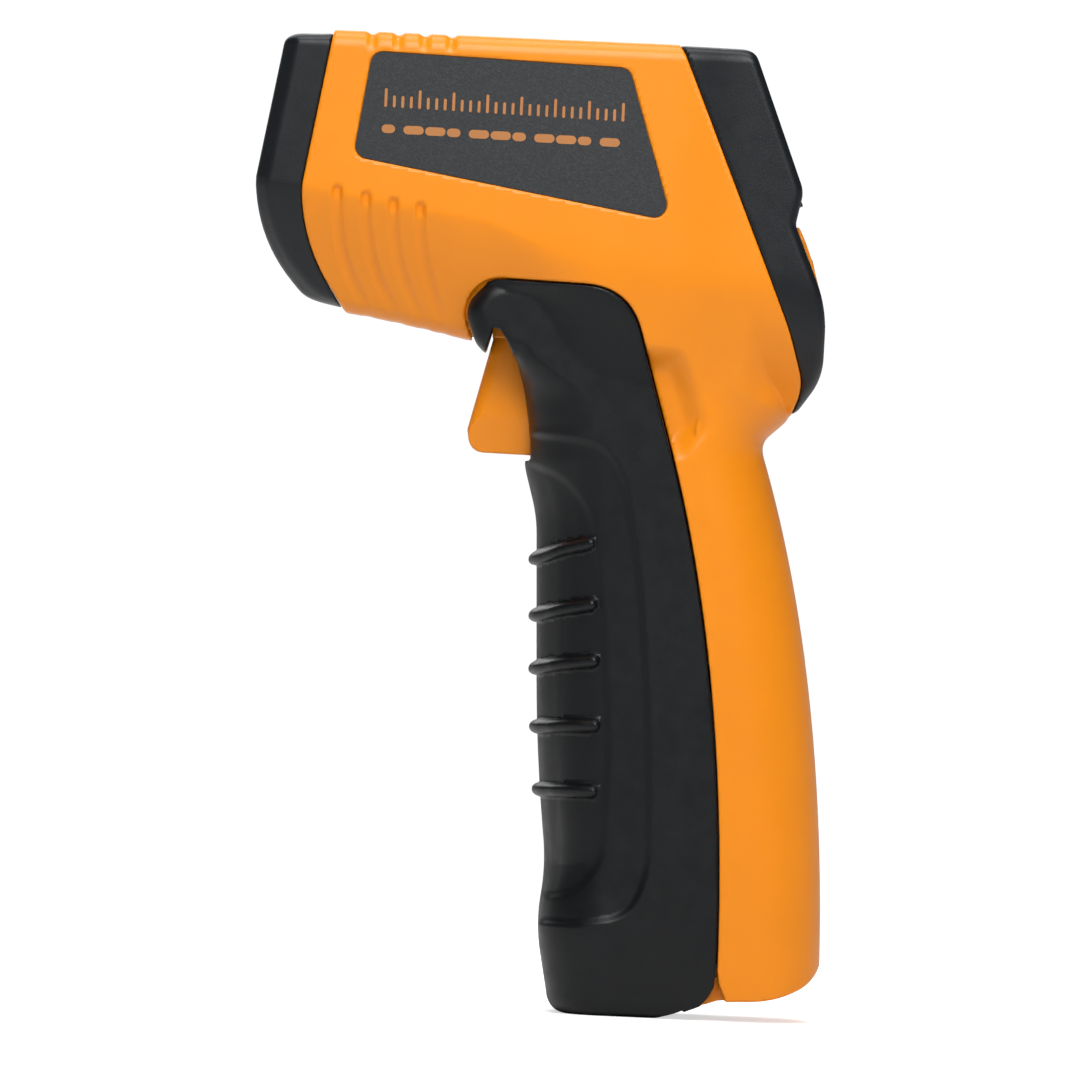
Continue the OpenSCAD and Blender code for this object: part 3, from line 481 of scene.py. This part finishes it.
# ------------------------------------------------------------------ dual contouring
def make_mesh(name, fn, names, lo, hi, h):
    lo = np.floor(np.array(lo, float) / H2) * H2
    n = [int(math.ceil((hi[i] - lo[i]) / h)) + 1 for i in range(3)]
    xs, ys, zs = [lo[i] + h * np.arange(n[i]) + (h * 0.013 if i == 1 else 0) for i in range(3)]
    xg, zg = np.meshgrid(xs, zs, indexing="ij")
    plane = {k: a[:, None, :] for k, a in sample(names, xg, zg).items()}
    vol = np.empty(n, F)
    for j0 in range(0, n[1], 24):
        yy = ys[j0:j0 + 24]
        vol[:, j0:j0 + 24, :] = fn((xs[:, None, None].astype(F), yy[None, :, None].astype(F), zs[None, None, :].astype(F)), plane)
    neg = vol < 0

    def at(q):
        return fn((q[:, 0], q[:, 1], q[:, 2]), sample(names, q[:, 0], q[:, 2]))

    def gradient(q, d=0.06):
        g = np.empty_like(q)
        for i in range(3):
            a, b = q.copy(), q.copy()
            a[:, i] += d
            b[:, i] -= d
            g[:, i] = (at(a) - at(b)) / (2 * d)
        return g

    cells = [m - 1 for m in n]
    quads, points, cell_ids, owner = [], [], [], []
    count = 0
    for axis in range(3):
        sl0 = [slice(None)] * 3
        sl1 = [slice(None)] * 3
        sl0[axis], sl1[axis] = slice(0, -1), slice(1, None)
        a, b = neg[tuple(sl0)], neg[tuple(sl1)]
        idx = np.argwhere(a != b)
        o = [k for k in range(3) if k != axis]
        keep = np.ones(len(idx), bool)
        for k in o:
            keep &= (idx[:, k] > 0) & (idx[:, k] < n[k] - 1)
        idx = idx[keep]
        i0 = tuple(idx.T)
        j = idx.copy()
        j[:, axis] += 1
        f0, f1 = vol[i0], vol[tuple(j.T)]
        t = f0 / (f0 - f1)
        q = np.stack([xs[idx[:, 0]], ys[idx[:, 1]], zs[idx[:, 2]]], 1)
        q[:, axis] += t * h
        # one secant step along the edge
        fm = at(q)
        ahead = (fm < 0) == (f0 < 0)
        up, down = fm - f1, fm - f0
        dt = np.where(ahead, (1 - t) * fm / np.where(np.abs(up) < 1e-9, 1, up), t * -fm / np.where(np.abs(down) < 1e-9, 1, down))
        q[:, axis] += np.clip(dt, -t, 1 - t) * h
        points.append(q)
        four = []
        for d0, d1 in ((0, 0), (-1, 0), (-1, -1), (0, -1)):
            c = idx.copy()
            c[:, o[0]] += d0
            c[:, o[1]] += d1
            four.append((c[:, 0] * cells[1] + c[:, 1]) * cells[2] + c[:, 2])
        four = np.stack(four, 1)
        flip = f0 > 0
        if axis == 1:
            flip = ~flip
        quads.append(np.where(flip[:, None], four[:, ::-1], four))
        cell_ids.append(four.ravel())
        owner.append(np.repeat(np.arange(count, count + len(idx)), 4))
        count += len(idx)
    points = np.concatenate(points)
    normals = gradient(points)
    normals /= np.maximum(np.linalg.norm(normals, axis=1, keepdims=True), 1e-6)
    cell_ids, owner, quads = np.concatenate(cell_ids), np.concatenate(owner), np.concatenate(quads)
    used, inverse = np.unique(cell_ids, return_inverse=True)
    m = len(used)
    cnt = np.bincount(inverse, minlength=m).astype(float)
    pp, nn = points[owner], normals[owner]
    mass = np.stack([np.bincount(inverse, pp[:, i], m) for i in range(3)], 1) / cnt[:, None]
    rel = pp - mass[inverse]
    b = (rel * nn).sum(1)
    ata = np.zeros((m, 3, 3))
    atb = np.zeros((m, 3))
    for i in range(3):
        atb[:, i] = np.bincount(inverse, nn[:, i] * b, m)
        for k in range(i, 3):
            ata[:, i, k] = ata[:, k, i] = np.bincount(inverse, nn[:, i] * nn[:, k], m)
    ata += np.eye(3)[None] * 0.06
    off = np.linalg.solve(ata, atb[..., None])[..., 0]
    length = np.linalg.norm(off, axis=1, keepdims=True)
    off *= np.minimum(1, 0.75 * h / np.maximum(length, 1e-9))
    v = mass + off
    for _ in range(2):
        g = gradient(v)
        gg = (g * g).sum(1)
        move = -(at(v) / np.maximum(gg, 0.2))[:, None] * g
        ml = np.linalg.norm(move, axis=1, keepdims=True)
        v = v + move * np.minimum(1, 0.4 * h / np.maximum(ml, 1e-9))
    g = gradient(v, 0.1)
    g /= np.maximum(np.linalg.norm(g, axis=1, keepdims=True), 1e-6)
    faces = np.searchsorted(used, quads)
    me = bpy.data.meshes.new(name)
    me.vertices.add(m)
    me.vertices.foreach_set("co", (v * MM).astype(F).ravel())
    me.loops.add(len(faces) * 4)
    me.loops.foreach_set("vertex_index", faces.astype(np.int32).ravel())
    me.polygons.add(len(faces))
    me.polygons.foreach_set("loop_start", np.arange(0, len(faces) * 4, 4, dtype=np.int32))
    me.polygons.foreach_set("use_smooth", np.ones(len(faces), bool))
    me.update(calc_edges=True)
    me.validate()
    me.normals_split_custom_set_from_vertices(g.astype(float).tolist())
    ob = bpy.data.objects.new(name, me)
    bpy.context.scene.collection.objects.link(ob)
    print(name, "verts", m, "faces", len(faces))
    return ob


# ------------------------------------------------------------------ materials
def node(nt, kind, **values):
    n = nt.nodes.new(kind)
    for k, v in values.items():
        if hasattr(n, k):
            setattr(n, k, v)
        else:
            n.inputs[k].default_value = v
    return n


def material(name, color, rough=0.4, grain=0.35, bump=0.12, vary=0.05, rough_vary=0.06, metallic=0.0, coat=0.0, ior=1.5,
             transmission=0.0, sheen=0.0, anisotropic=0.0, subsurface=0.0, smudge=12.0, specular=0.5):
    """Moulded or metal surface: fine grain in the relief, slow changes in colour and gloss. grain is its size in mm."""
    m = bpy.data.materials.new(name)
    m.use_nodes = True
    nt = m.node_tree
    bsdf = nt.nodes["Principled BSDF"]
    bsdf.inputs["Metallic"].default_value = metallic
    bsdf.inputs["IOR"].default_value = ior
    bsdf.inputs["Transmission Weight"].default_value = transmission
    bsdf.inputs["Coat Weight"].default_value = coat
    bsdf.inputs["Sheen Weight"].default_value = sheen
    bsdf.inputs["Specular IOR Level"].default_value = specular
    bsdf.inputs["Anisotropic"].default_value = anisotropic
    if subsurface:
        bsdf.inputs["Subsurface Weight"].default_value = subsurface
        bsdf.inputs["Subsurface Radius"].default_value = (0.0012, 0.0006, 0.0002)
        bsdf.inputs["Subsurface Scale"].default_value = 1.0
    co = nt.nodes.new("ShaderNodeTexCoord")
    slow = node(nt, "ShaderNodeTexNoise", Scale=1000.0 / smudge, Detail=4.0, Roughness=0.6)
    nt.links.new(co.outputs["Object"], slow.inputs["Vector"])
    ramp = nt.nodes.new("ShaderNodeValToRGB")
    c = np.array(color, float)
    ramp.color_ramp.elements[0].position, ramp.color_ramp.elements[1].position = 0.3, 0.7
    ramp.color_ramp.elements[0].color = (*np.clip(c * (1 - vary), 0, 1), 1)
    ramp.color_ramp.elements[1].color = (*np.clip(c * (1 + vary), 0, 1), 1)
    nt.links.new(slow.outputs["Fac"], ramp.inputs["Fac"])
    nt.links.new(ramp.outputs["Color"], bsdf.inputs["Base Color"])
    gloss = node(nt, "ShaderNodeMapRange")
    gloss.inputs["From Min"].default_value, gloss.inputs["From Max"].default_value = 0.3, 0.7
    gloss.inputs["To Min"].default_value, gloss.inputs["To Max"].default_value = rough - rough_vary, rough + rough_vary
    mid = node(nt, "ShaderNodeTexNoise", Scale=1000.0 / 3.1, Detail=3.0, Roughness=0.55)
    nt.links.new(co.outputs["Object"], mid.inputs["Vector"])
    nt.links.new(mid.outputs["Fac"], gloss.inputs["Value"])
    nt.links.new(gloss.outputs["Result"], bsdf.inputs["Roughness"])
    if bump:
        fine = node(nt, "ShaderNodeTexNoise", Scale=1000.0 / grain, Detail=2.0, Roughness=0.6)
        nt.links.new(co.outputs["Object"], fine.inputs["Vector"])
        b = node(nt, "ShaderNodeBump", Strength=bump, Distance=0.00012)
        nt.links.new(fine.outputs["Fac"], b.inputs["Height"])
        nt.links.new(b.outputs["Normal"], bsdf.inputs["Normal"])
    return m


ORANGE = (0.90, 0.275, 0.006)
M = {
    "orange": material("orange_abs", ORANGE, rough=0.33, grain=0.3, bump=0.06, vary=0.02, rough_vary=0.03, subsurface=0.08, specular=0.36),
    "trim": material("trim_abs", (0.0062, 0.0080, 0.0106), specular=0.36, rough=0.38, grain=0.28, bump=0.16, vary=0.12, rough_vary=0.05),
    "grip": material("grip_abs", (0.0034, 0.0044, 0.0054), specular=0.34, rough=0.38, grain=0.3, bump=0.13, vary=0.1, rough_vary=0.05),
    "hood": material("hood_abs", (0.012, 0.012, 0.013), rough=0.6, grain=0.25, bump=0.2, vary=0.1),
    "keys": material("key_silicone", (0.026, 0.027, 0.03), rough=0.55, grain=0.22, bump=0.15, vary=0.1, sheen=0.1),
    "steel": material("pin_steel", (0.6, 0.6, 0.62), rough=0.28, grain=0.12, bump=0.05, vary=0.04, metallic=1.0, anisotropic=0.4),
    "spring": material("spring_steel", (0.55, 0.55, 0.57), rough=0.32, grain=0.1, bump=0.05, vary=0.05, metallic=1.0),
    "zinc": material("screw_zinc", (0.52, 0.53, 0.55), rough=0.34, grain=0.15, bump=0.08, vary=0.08, metallic=1.0),
    "switch": material("switch_body", (0.02, 0.02, 0.021), rough=0.5, grain=0.2, bump=0.15, vary=0.1),
    "tube": material("tube_abs", (0.03, 0.03, 0.033), rough=0.55, grain=0.25, bump=0.18, vary=0.1),
    "can": material("sensor_can", (0.68, 0.67, 0.64), rough=0.25, grain=0.1, bump=0.03, vary=0.04, metallic=1.0),
    "brass": material("laser_brass", (0.72, 0.5, 0.2), rough=0.3, grain=0.14, bump=0.06, vary=0.06, metallic=1.0),
    "cream": material("ribbon_film", (0.72, 0.68, 0.55), rough=0.35, grain=0.8, bump=0.05, vary=0.05),
    "red": material("wire_red", (0.5, 0.012, 0.01), rough=0.38, grain=0.4, bump=0.05, vary=0.08),
    "blackwire": material("wire_black", (0.014, 0.014, 0.014), rough=0.38, grain=0.4, bump=0.05, vary=0.08),
    "lcd": material("lcd_cell", (0.3, 0.34, 0.25), rough=0.12, grain=0.9, bump=0.01, vary=0.03, rough_vary=0.02, coat=0.5),
    "guide": material("light_guide", (0.78, 0.78, 0.74), rough=0.4, grain=0.6, bump=0.04, vary=0.02, subsurface=0.3),
    "rubber": material("contact_rubber", (0.06, 0.06, 0.065), rough=0.75, grain=0.3, bump=0.2, vary=0.15),
    "battery": material("battery_jacket", (0.05, 0.065, 0.085), rough=0.3, grain=1.2, bump=0.03, vary=0.06, coat=0.3),
    "vinyl": material("snap_vinyl", (0.014, 0.014, 0.015), rough=0.45, grain=0.5, bump=0.2, vary=0.1),
    "foam": material("foam_pad", (0.06, 0.06, 0.06), rough=0.95, grain=0.5, bump=0.9, vary=0.25),
    "print": material("label_ink", (0.46, 0.18, 0.045), rough=0.5, grain=0.14, bump=0.1, vary=0.08),
    "ink": material("key_ink", (0.62, 0.62, 0.6), rough=0.5, grain=0.2, bump=0.08, vary=0.04),
}


def label_material():
    """Pebbled film: dark, with small lighter specks."""
    m = material("label_film", (0.03, 0.031, 0.034), rough=0.5, grain=0.4, bump=0.35, vary=0.1)
    nt = m.node_tree
    bsdf = nt.nodes["Principled BSDF"]
    co = nt.nodes["Texture Coordinate"]
    v = node(nt, "ShaderNodeTexNoise", Scale=1000.0 / 0.42, Detail=2.0, Roughness=0.7)
    nt.links.new(co.outputs["Object"], v.inputs["Vector"])
    r = nt.nodes.new("ShaderNodeValToRGB")
    r.color_ramp.elements[0].position, r.color_ramp.elements[1].position = 0.46, 0.74
    r.color_ramp.elements[0].color = (0.0105, 0.0125, 0.0152, 1)
    r.color_ramp.elements[1].color = (0.027, 0.030, 0.034, 1)
    nt.links.new(v.outputs["Fac"], r.inputs["Fac"])
    nt.links.new(r.outputs["Color"], bsdf.inputs["Base Color"])
    return m


def board_material(name):
    """Solder resist: green with tracks that show as a slightly lighter grid, and copper pads."""
    m = material(name, (0.012, 0.12, 0.045), rough=0.3, grain=0.5, bump=0.04, vary=0.1, coat=0.3)
    nt = m.node_tree
    bsdf = nt.nodes["Principled BSDF"]
    co = nt.nodes["Texture Coordinate"]
    v = node(nt, "ShaderNodeTexVoronoi", Scale=1000.0 / 2.6)
    v.distance = "MANHATTAN"
    v.feature = "F1"
    nt.links.new(co.outputs["Object"], v.inputs["Vector"])
    r = nt.nodes.new("ShaderNodeValToRGB")
    r.color_ramp.interpolation = "CONSTANT"
    r.color_ramp.elements[0].position, r.color_ramp.elements[0].color = 0.0, (0.35, 0.3, 0.16, 1)
    r.color_ramp.elements[1].position, r.color_ramp.elements[1].color = 0.16, (0.011, 0.11, 0.042, 1)
    e = r.color_ramp.elements.new(0.55)
    e.color = (0.018, 0.16, 0.06, 1)
    nt.links.new(v.outputs["Distance"], r.inputs["Fac"])
    nt.links.new(r.outputs["Color"], bsdf.inputs["Base Color"])
    return m


def clear_material(name, tint, rough=0.03):
    m = material(name, tint, rough=rough, grain=2.0, bump=0.01, vary=0.01, rough_vary=0.01, transmission=1.0, ior=1.49)
    return m


def fresnel_material():
    """Milky lens with fine turned rings about its own axis."""
    m = material("fresnel_lens", (0.8, 0.83, 0.86), rough=0.25, grain=0.5, bump=0.0, vary=0.02, rough_vary=0.02, transmission=0.35,
                 ior=1.45, subsurface=0.2)
    nt = m.node_tree
    bsdf = nt.nodes["Principled BSDF"]
    co = nt.nodes["Texture Coordinate"]
    shift = nt.nodes.new("ShaderNodeVectorMath")
    shift.operation = "SUBTRACT"
    shift.inputs[1].default_value = (0, 0, 0.1495)
    nt.links.new(co.outputs["Object"], shift.inputs[0])
    flat = nt.nodes.new("ShaderNodeVectorMath")
    flat.operation = "MULTIPLY"
    flat.inputs[1].default_value = (0, 1, 1)
    nt.links.new(shift.outputs["Vector"], flat.inputs[0])
    ln = nt.nodes.new("ShaderNodeVectorMath")
    ln.operation = "LENGTH"
    nt.links.new(flat.outputs["Vector"], ln.inputs[0])
    saw = nt.nodes.new("ShaderNodeMath")
    saw.operation = "MULTIPLY"
    saw.inputs[1].default_value = 1 / 0.00055
    nt.links.new(ln.outputs["Value"], saw.inputs[0])
    fr = nt.nodes.new("ShaderNodeMath")
    fr.operation = "FRACT"
    nt.links.new(saw.outputs["Value"], fr.inputs[0])
    b = node(nt, "ShaderNodeBump", Strength=0.5, Distance=0.0002)
    nt.links.new(fr.outputs["Value"], b.inputs["Height"])
    nt.links.new(b.outputs["Normal"], bsdf.inputs["Normal"])
    return m


M["label"] = label_material()
M["board"] = board_material("board_green")
M["window"] = clear_material("window_clear", (0.9, 0.92, 0.93))
M["fresnel"] = fresnel_material()


def paint(obj, key_):
    obj.data.materials.clear()
    obj.data.materials.append(M[key_])


for n, k in {"lens_hood": "hood", "lens_ring": "hood", "fresnel_lens": "fresnel", "laser_window": "window", "display_window": "window",
             "trigger_pin": "steel", "door_hinge_pin": "steel", "trigger_spring": "spring", "shell_screws": "zinc",
             "board_screws": "zinc", "trigger_switch": "switch", "key_switches": "switch", "microcontroller": "switch",
             "buzzer": "switch", "main_board": "board", "trigger_board": "board", "sensor_board": "board", "sensor_tube": "tube",
             "laser_holder": "tube", "lcd_frame": "tube", "thermopile": "can", "laser_module": "brass", "sensor_ribbon": "cream",
             "lead_red": "red", "laser_lead_plus": "red", "lead_black": "blackwire", "laser_lead_minus": "blackwire",
             "lcd_glass": "lcd", "lcd_backlight": "guide", "contact_strips": "rubber", "battery": "battery", "battery_snap": "vinyl",
             "battery_pad": "foam", "label_left": "label", "label_right": "label"}.items():
    paint(nodes[n], k)

# ------------------------------------------------------------------ mouldings
COARSE = 1.0


def piece(name, node_name, body, mat, fn, names, lo, hi, h):
    ob = make_mesh(name, fn, names, lo, hi, h * COARSE)
    ob.data.materials.append(M[mat])
    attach(ob, body)
    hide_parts(node_name)
    return ob


shell_fields = ENV + ["body", "groove", "notch", "label", "plate", "lug"]
piece("shell_left", "body_left", "housing", "orange", shell(1), shell_fields, [-54.5, -0.75, 1], [46.5, 25.75, 174], 0.5)
piece("shell_right", "body_right", "housing", "orange", shell(-1), shell_fields, [-54.5, -25.75, 1], [46.5, 0.75, 174], 0.55)
piece("nose_shell", "nose_cap", "housing", "trim", nose, ENV + ["nose_in", "nose_out"], [35.5, -24, 120.5], [54.5, 24, 174], 0.4)
piece("display_bezel", "rear_bezel", "housing", "trim", bezel, ENV + ["rear_in", "rear_out"], [-50.5, -26, 104.5], [-18, 26, 174], 0.45)
piece("keypad_surround", "keypad_plate", "housing", "orange", plate, [], [-54, -13.5, 115], [-40, 13.5, 146], 0.25)
for i, n in enumerate(("key_left", "key_right", "key_centre")):
    cy, cz = key_at[i]
    piece(n + "_cap", n, n, "keys", key(i), [], [-54, cy - 6, 130.8 + cz - 6], [-38, cy + 6, 130.8 + cz + 6], 0.22)
piece("grip_door", "battery_door", "battery_door", "grip", door,
      ENV + ["door", "recess", "palm", "rib", "knuckle", "mouth"], [-37, -24, -1.5], [17.5, 24, 133], 0.5)
piece("trigger_blade", "trigger", "trigger", "orange", trigger, ["trigger"], [-3, -6.5, 97], [16, 6.5, 129], 0.28)


# ------------------------------------------------------------------ printed marks: a plain scale and bars, no lettering
def printed(name, shapes, y0, y1, body, mat, mirror=False):
    """Flat rounded marks. Each shape is a list of [x, z] points in mm."""
    bm = bmesh.new()
    for pts in shapes:
        lo_, hi_ = [], []
        for x, z in pts:
            lo_.append(bm.verts.new((x * MM, y0 * MM, z * MM)))
            hi_.append(bm.verts.new((x * MM, y1 * MM, z * MM)))
        n = len(pts)
        bm.faces.new(hi_)
        bm.faces.new(lo_[::-1])
        for i in range(n):
            j = (i + 1) % n
            bm.faces.new((lo_[i], lo_[j], hi_[j], hi_[i]))
    bmesh.ops.recalc_face_normals(bm, faces=bm.faces)
    me = bpy.data.meshes.new(name)
    bm.to_mesh(me)
    bm.free()
    ob = bpy.data.objects.new(name, me)
    bpy.context.scene.collection.objects.link(ob)
    me.materials.append(M[mat])
    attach(ob, body)
    return ob


def bar(x0, z0, x1, z1, w):
    """A stroke with round ends from x0, z0 to x1, z1."""
    d = np.array([x1 - x0, z1 - z0], float)
    ln = np.linalg.norm(d)
    u = d / ln if ln > 1e-6 else np.array([1.0, 0.0])
    a = math.atan2(u[1], u[0])
    pts = []
    for k in range(9):
        t = a + math.pi / 2 + math.pi * k / 8
        pts.append((x0 + w / 2 * math.cos(t), z0 + w / 2 * math.sin(t)))
    for k in range(9):
        t = a - math.pi / 2 + math.pi * k / 8
        pts.append((x1 + w / 2 * math.cos(t), z1 + w / 2 * math.sin(t)))
    return pts


marks = []
count = 29
for i in range(count):
    x = 30.6 - 1.5 * i
    long_ = i % 4 == 0
    marks.append(bar(x, 159.4 - 0.028 * i, x, (162.2 if long_ else 161.0) - 0.028 * i, 0.5))
for i in range(11):
    x = 30.6 - 3.86 * i
    ln = 2.5 if i % 3 else 1.3
    marks.append(bar(x - 0.2, 155.3 - 0.07 * i, x - 0.2 - ln + 0.4, 155.3 - 0.07 * i, 1.5))
for side, n in ((1, "label_print_left"), (-1, "label_print_right")):
    y0, y1 = (22.43, 22.46) if side > 0 else (-22.46, -22.43)
    printed(n, marks, y0, y1, "housing", "print")

# ------------------------------------------------------------------ floor, light and camera
def seen_lighter(mat, lift):
    """Lift the paper towards white in the picture only; it throws no extra light on the object."""
    nt = mat.node_tree
    out = next(n for n in nt.nodes if n.type == "OUTPUT_MATERIAL")
    lit = out.inputs["Surface"].links[0].from_socket
    path = nt.nodes.new("ShaderNodeLightPath")
    gain = nt.nodes.new("ShaderNodeMath")
    gain.operation = "MULTIPLY"
    gain.inputs[1].default_value = lift
    nt.links.new(path.outputs["Is Camera Ray"], gain.inputs[0])
    glow = nt.nodes.new("ShaderNodeEmission")
    nt.links.new(gain.outputs[0], glow.inputs["Strength"])
    both = nt.nodes.new("ShaderNodeAddShader")
    nt.links.new(lit, both.inputs[0])
    nt.links.new(glow.outputs[0], both.inputs[1])
    nt.links.new(both.outputs[0], out.inputs["Surface"])


def stage_floor():
    bm = bmesh.new()
    rings = []
    for r in (0.5, 1.5, 4.0, 14.0):
        rings.append([bm.verts.new((r * math.cos(2 * math.pi * k / 48), r * math.sin(2 * math.pi * k / 48), 0)) for k in range(48)])
    bm.faces.new(rings[0])
    for a, b in zip(rings, rings[1:]):
        for k in range(48):
            bm.faces.new((a[k], b[k], b[(k + 1) % 48], a[(k + 1) % 48]))
    bmesh.ops.recalc_face_normals(bm, faces=bm.faces)
    me = bpy.data.meshes.new("floor")
    bm.to_mesh(me)
    bm.free()
    ob = bpy.data.objects.new("floor", me)
    bpy.context.scene.collection.objects.link(ob)
    paper = material("floor_paper", (0.83, 0.83, 0.83), rough=0.85, grain=3, bump=0.02, vary=0.004, smudge=300)
    seen_lighter(paper, 0.62)
    me.materials.append(paper)


stage_floor()


def light(name, kind, loc, target, energy, size=1.0, size_y=None, color=(1, 1, 1)):
    d = bpy.data.lights.new(name, kind)
    d.energy = energy
    d.color = color
    if kind == "AREA":
        d.shape = "RECTANGLE"
        d.size, d.size_y = size, size_y or size
    o = bpy.data.objects.new(name, d)
    o.location = loc
    o.rotation_mode = "QUATERNION"
    o.rotation_quaternion = (Vector(target) - Vector(loc)).to_track_quat("-Z", "Y")
    bpy.context.scene.collection.objects.link(o)
    return o


centre = (0, 0, 0.1)
key_light = light("key_soft", "AREA", (-0.04, 0.37, 0.40), (0, 0, 0.12), 0.5, 0.34, 0.34)
key_light.data.spread = math.radians(75)
light("fill_soft", "AREA", (0.12, -0.45, 0.4), (0, 0, 0.12), 1.2, 0.4, 0.4)
sky = light("sky_soft", "SUN", (0, 0, 2), (0, 0, 0), 1.5)
sky.data.angle = math.radians(40)


def studio_world():
    """Dim room with a pale band along the horizon, white where the camera looks straight at it."""
    w = bpy.data.worlds.new("studio")
    bpy.context.scene.world = w
    w.use_nodes = True
    nt = w.node_tree
    co = nt.nodes.new("ShaderNodeTexCoord")
    sep = nt.nodes.new("ShaderNodeSeparateXYZ")
    nt.links.new(co.outputs["Generated"], sep.inputs["Vector"])
    up = nt.nodes.new("ShaderNodeMath")
    up.operation = "ABSOLUTE"
    nt.links.new(sep.outputs["Z"], up.inputs[0])
    ramp = nt.nodes.new("ShaderNodeMapRange")
    ramp.interpolation_type = "SMOOTHSTEP"
    for k, v in (("From Min", 0.055), ("From Max", 0.17), ("To Min", 0.52), ("To Max", 0.07)):
        ramp.inputs[k].default_value = v
    nt.links.new(up.outputs["Value"], ramp.inputs["Value"])
    bg = nt.nodes["Background"]
    bg.inputs["Color"].default_value = (1, 1, 1, 1)
    path = nt.nodes.new("ShaderNodeLightPath")
    direct = nt.nodes.new("ShaderNodeMath")
    direct.operation = "MULTIPLY"
    direct.inputs[1].default_value = 1.04
    nt.links.new(path.outputs["Is Camera Ray"], direct.inputs[0])
    most = nt.nodes.new("ShaderNodeMath")
    most.operation = "MAXIMUM"
    nt.links.new(ramp.outputs["Result"], most.inputs[0])
    nt.links.new(direct.outputs[0], most.inputs[1])
    nt.links.new(most.outputs[0], bg.inputs["Strength"])


studio_world()

cam = bpy.data.cameras.new("camera")
cam_ob = bpy.data.objects.new("camera", cam)
bpy.context.scene.collection.objects.link(cam_ob)
DIST = 2.5
cam.sensor_width = 36
cam.lens = 36 * (DIST - 0.012) / 0.1917
cam.clip_start, cam.clip_end = 0.01, 20
cam_ob.location = (0, DIST, 0.08385)
aim = (Vector((0, 0, 0.08385)) - cam_ob.location).to_track_quat("-Z", "Y")
roll = Matrix.Rotation(math.radians(2.5), 4, "Z").to_quaternion()
cam_ob.rotation_mode = "QUATERNION"
cam_ob.rotation_quaternion = aim @ roll
bpy.context.scene.camera = cam_ob
bpy.context.scene.view_settings.view_transform = "Standard"
